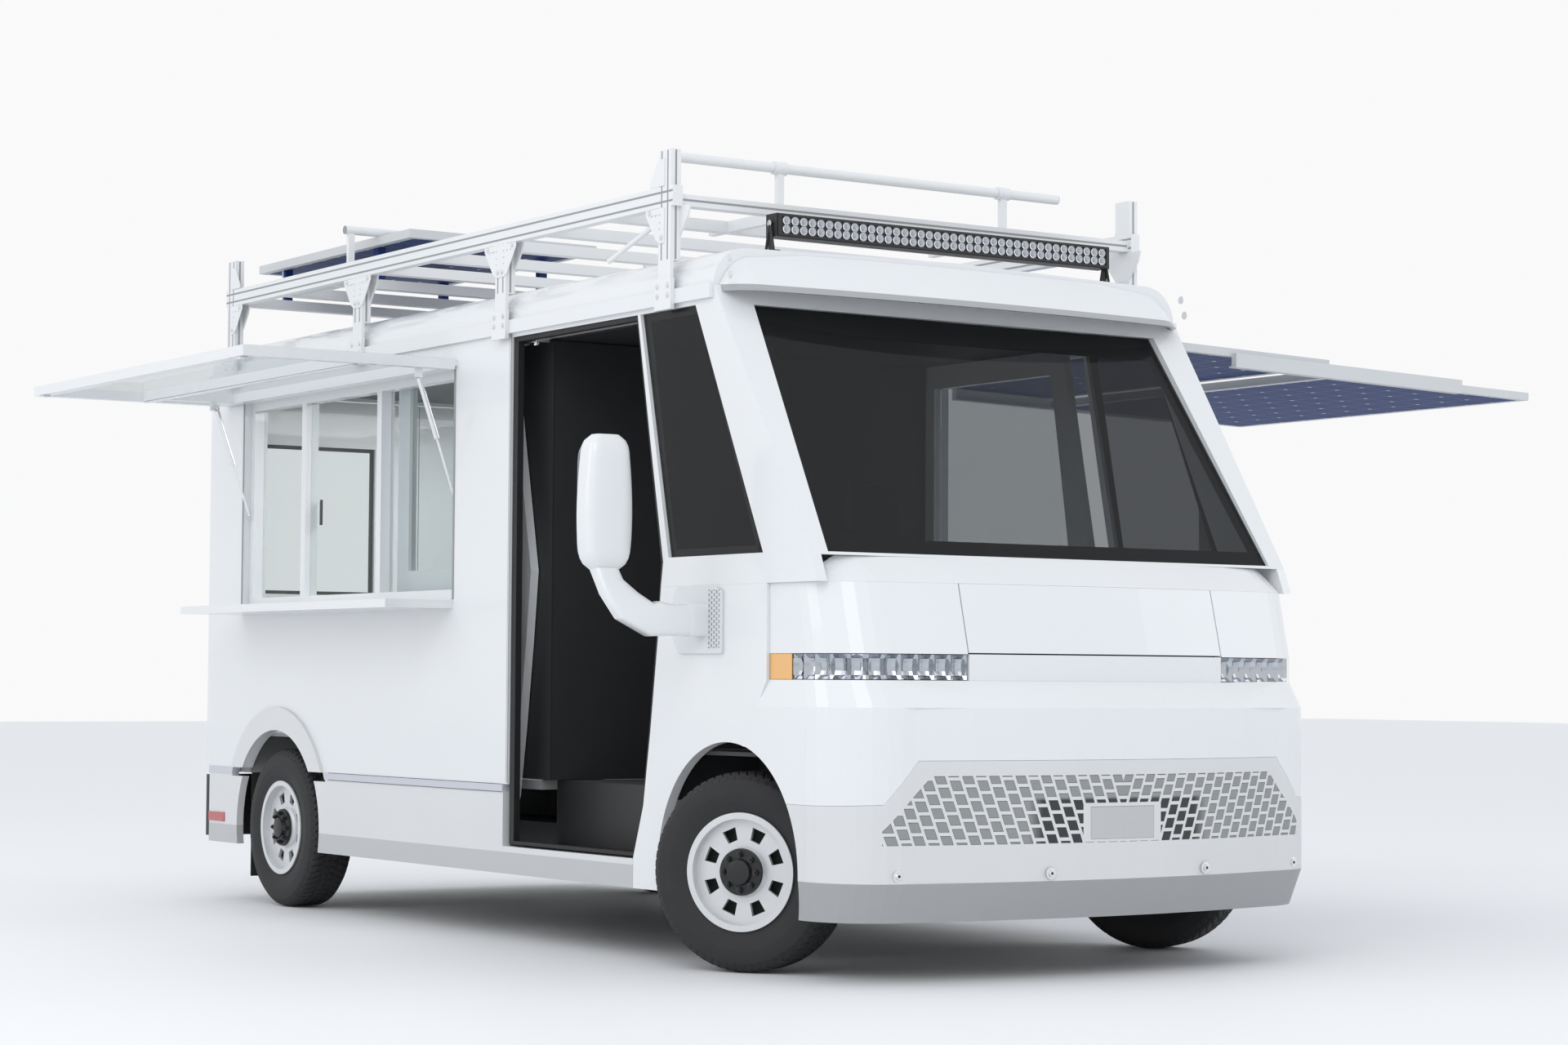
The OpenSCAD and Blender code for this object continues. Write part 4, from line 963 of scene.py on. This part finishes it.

# %% [markdown]
# Three moulded panels change tone with height: the skirts carry a cool grey strip at the
# top and are darker at the foot as painted shade, and the visor's underside along its lip is
# grey as painted shade.

# %% Skirt strip and painted shade on skirts and visor
SKIRT = finish("side skirt", (0.68, 0.685, 0.69), 0.48, wear=0.06, bump=0.06)
tree = SKIRT.node_tree
x, y, z = place_on(SKIRT)
recolour(SKIRT, between(tree, z, 0.612, 0.70), (0.56, 0.565, 0.62), 0.4)
# painted shade: the skirts' foot below 0.366 m is darker grey
recolour(SKIRT, between(tree, z, 0.0, 0.366, 0.004), (0.50, 0.505, 0.51), 0.5)
wear_with("side_skirts", SKIRT)
VISOR = finish("sun visor", (0.76, 0.77, 0.78), 0.32, coat=0.6, wear=0.03)
x, y, z = place_on(VISOR)
# painted shade: the visor's underside, from 2.40 m to 2.572 m, is grey on the white paint
recolour(VISOR, between(VISOR.node_tree, z, 2.40, 2.572), (0.36, 0.365, 0.37), 0.5)
wear_with("sun_visor", VISOR)
print("panels with strip and painted shade: side_skirts, sun_visor")

# %% [markdown]
# Small fittings finish the sides: clips and a rail on the awning, bolts on the visor, the
# door roller, side markers, and the trims round the hatch.

# %% Side fittings
clips = [box((-2.125, y, 2.402), (-2.085, y + 0.045, 2.4098)) for y in (2.16, 4.42)]
rail = box((-1.6, 2.18, 2.402), (-1.575, 4.46, 2.4098))
piece("awning_clips", join(clips + [rail]), BODY, "awning", bevel=0.002)
visor_screws = cap_screws([(-1.1105, -0.005, 2.665), (-1.1165, -0.020, 2.600)], 0, 0.011)
piece("visor_screws", both(visor_screws), BRIGHT)
markers = [box((-1.1395, 4.490, 0.376), (-1.1352, 4.680, 0.421))]
piece("side_markers", both(join(markers)), RED, bevel=0.0015)
bracket = box((-1.094, 1.50, 2.478), (-1.030, 1.612, 2.498))
rollers = [bracket, rod((-1.060, 1.560, 2.470), (-1.060, 1.560, 2.500), 0.012)]
piece("door_roller", join(rollers), BRIGHT, bevel=0.001)
strip = [
    box((-1.1362, 1.6330, 0.650), (-1.1352, 1.6400, 2.520)),
    box((-1.1358, 1.6480, 0.650), (-1.1352, 1.6500, 2.520)),
]
piece("door_post_trim", join(strip), SLOT_SHADE_AND_GREY)
hatch_trim = [box((-1.1375, y, 1.4202), (-1.1352, y + 0.014, 2.412)) for y in (2.128, 4.318)]
sill_lines = [box((-1.1396, 1.675, z - 0.001), (-1.1391, 3.33, z + 0.001)) for z in (0.6125, 0.6445)]
piece("sill_lines", both(join(sill_lines)), SEAL)
pocket_lining = box((-0.981, 1.552, 0.662), (-0.977, 2.100, 2.495))
piece("door_pocket_lining", pocket_lining, LINING)
piece("hatch_trim", join(hatch_trim), SLOT_SHADE_AND_GREY)
pulls = [box((-1.034, y, 1.80), (-1.026, y + 0.02, 1.92)) for y in (2.98, 3.66)]
piece("sash_pulls", join(pulls), BLACK, bevel=0.002)
kitchen = [
    box((0.42, 3.10, 0.68), (0.975, 4.55, 1.56)),
    box((0.62, 3.10, 1.95), (0.975, 4.20, 2.38)),
]
STAINLESS = finish("stainless steel", (0.62, 0.63, 0.64), 0.28, metal=0.9, wear=0.08)
piece("work_counter", kitchen[0], STAINLESS, bevel=0.006)
piece("wall_cupboard", kitchen[1], finish("cupboard", (0.70, 0.705, 0.71), 0.5), bevel=0.006)
ceiling = box((-0.972, 1.70, 2.506), (0.972, 4.66, 2.515))
piece("ceiling_lining", ceiling, finish("kitchen ceiling", (0.10, 0.10, 0.105), 0.6))
pane_outline = oblong(0.2505, 1.5005, 0.8745, 2.2495)
door_pane = prism(pane_outline, 1, 4.695, 4.700)
door_seal = prism(pane_outline, 1, 4.7005, 4.712, holes=[oblong(0.268, 1.518, 0.857, 2.232)])
grip = [(0.065, 4.722, 1.260), (0.065, 4.734, 1.275), (0.065, 4.734, 1.385), (0.065, 4.722, 1.400)]
handle = join([box((0.045, 4.7198, 1.240), (0.085, 4.7230, 1.420)), tube(grip, 0.007, 10)])
lock_bar = rod((0.030, 4.7275, 0.720), (0.030, 4.7275, 2.460), 0.006, 10)
guides = [box((0.018, 4.7198, z), (0.042, 4.7335, z + 0.03)) for z in (0.74, 1.15, 1.80, 2.40)]
for hand, turn in (("left", lambda p: p), ("right", mirrored)):
    piece(f"rear_pane_{hand}", turn(door_pane), CLEAR, f"rear_door_{hand}")
    piece(f"rear_pane_seal_{hand}", turn(door_seal), SEAL, f"rear_door_{hand}")
    fittings = turn(join([handle, lock_bar] + guides))
    piece(f"rear_handle_{hand}", fittings, BRIGHT, f"rear_door_{hand}", bevel=0.001)
lens_bands = [box((1.1035, 4.7352, z), (1.1265, 4.7362, z + 0.003)) for z in (1.02, 1.16)]
piece("rear_lamp_bands", both(join(lens_bands)), BLACK)
print("fittings done")

# %% [markdown]
# The studio is a pale floor, a broad soft light above and in front, a weaker one on the far
# side and a ceiling lamp in the kitchen. The camera stands low, a long way off the front right corner.


# %% Studio
def soft_light(name, place, target, size, power):
    """A square lamp that faces its target."""
    lamp = bpy.data.lights.new(name, "AREA")
    lamp.size, lamp.energy = size, power
    made = bpy.data.objects.new(name, lamp)
    made.location = place
    made.rotation_euler = (Vector(target) - Vector(place)).to_track_quat("-Z", "Y").to_euler()
    bpy.context.scene.collection.objects.link(made)


FLOOR = finish("studio floor", (0.88, 0.88, 0.885), 0.6, wear=0.01)
mesh = bpy.data.meshes.new("studio_floor")
mesh.from_pydata([(*p, -0.001) for p in oblong(-60, -60, 60, 60)], [], [(0, 1, 2, 3)])
mesh.materials.append(FLOOR)
ground = bpy.data.objects.new("studio_floor", mesh)
bpy.context.scene.collection.objects.link(ground)

soft_light("key light", (-9, -10, 9), (0, -1, 1.2), 8, 400)
soft_light("side light", (-12, 3, 6), (0, 0, 1.2), 7, 190)
soft_light("kitchen light", (-0.654, 1.3, 2.49), (-0.654, 1.3, 0), 1.5, 45)
soft_light("far light", (9, -7, 5), (0, -1, 1.2), 6, 90)

world = bpy.data.worlds.new("studio")
bpy.context.scene.world = world
world.use_nodes = True
new, link = world.node_tree.nodes.new, world.node_tree.links.new
seen, ray = world.node_tree.nodes["Background"], new("ShaderNodeLightPath")
light, either, glass, pick = (new(f"ShaderNode{k}") for k in ("Background", "Math", "Math", "MixShader"))
seen.inputs["Color"].default_value = (0.95, 0.95, 0.955, 1)
light.inputs["Color"].default_value = (0.86, 0.90, 0.95, 1)
light.inputs["Strength"].default_value = 0.98
either.operation = glass.operation = "MAXIMUM"
link(ray.outputs["Is Camera Ray"], either.inputs[0])
link(ray.outputs["Is Glossy Ray"], either.inputs[1])
link(either.outputs[0], glass.inputs[0])
link(ray.outputs["Is Transmission Ray"], glass.inputs[1])
link(glass.outputs[0], pick.inputs["Fac"])
link(light.outputs[0], pick.inputs[1])
link(seen.outputs[0], pick.inputs[2])
link(pick.outputs[0], world.node_tree.nodes["World Output"].inputs["Surface"])

YAW, PITCH, ROLL = (math.radians(a) for a in (33.74, 2.85, 0.35))
ahead = Vector((math.sin(YAW), math.cos(YAW), 0))
right = Vector((math.cos(YAW), -math.sin(YAW), 0))
look = math.cos(PITCH) * ahead + math.sin(PITCH) * Vector((0, 0, 1))
up = math.cos(PITCH) * Vector((0, 0, 1)) - math.sin(PITCH) * ahead
rolled = math.cos(ROLL) * right + math.sin(ROLL) * up
over = math.cos(ROLL) * up - math.sin(ROLL) * right
camera = bpy.data.cameras.new("camera")
camera.lens, camera.sensor_width, camera.dof.use_dof = 72.7, 36, False
camera.clip_end = 300
eye = bpy.data.objects.new("camera", camera)
turned = Matrix((rolled, over, -look)).transposed().to_4x4()
eye.matrix_world = Matrix.Translation((-8.1556, -11.836, 1.083)) @ turned
bpy.context.scene.collection.objects.link(eye)
bpy.context.scene.camera = eye
bpy.context.scene.view_settings.view_transform = "Standard"
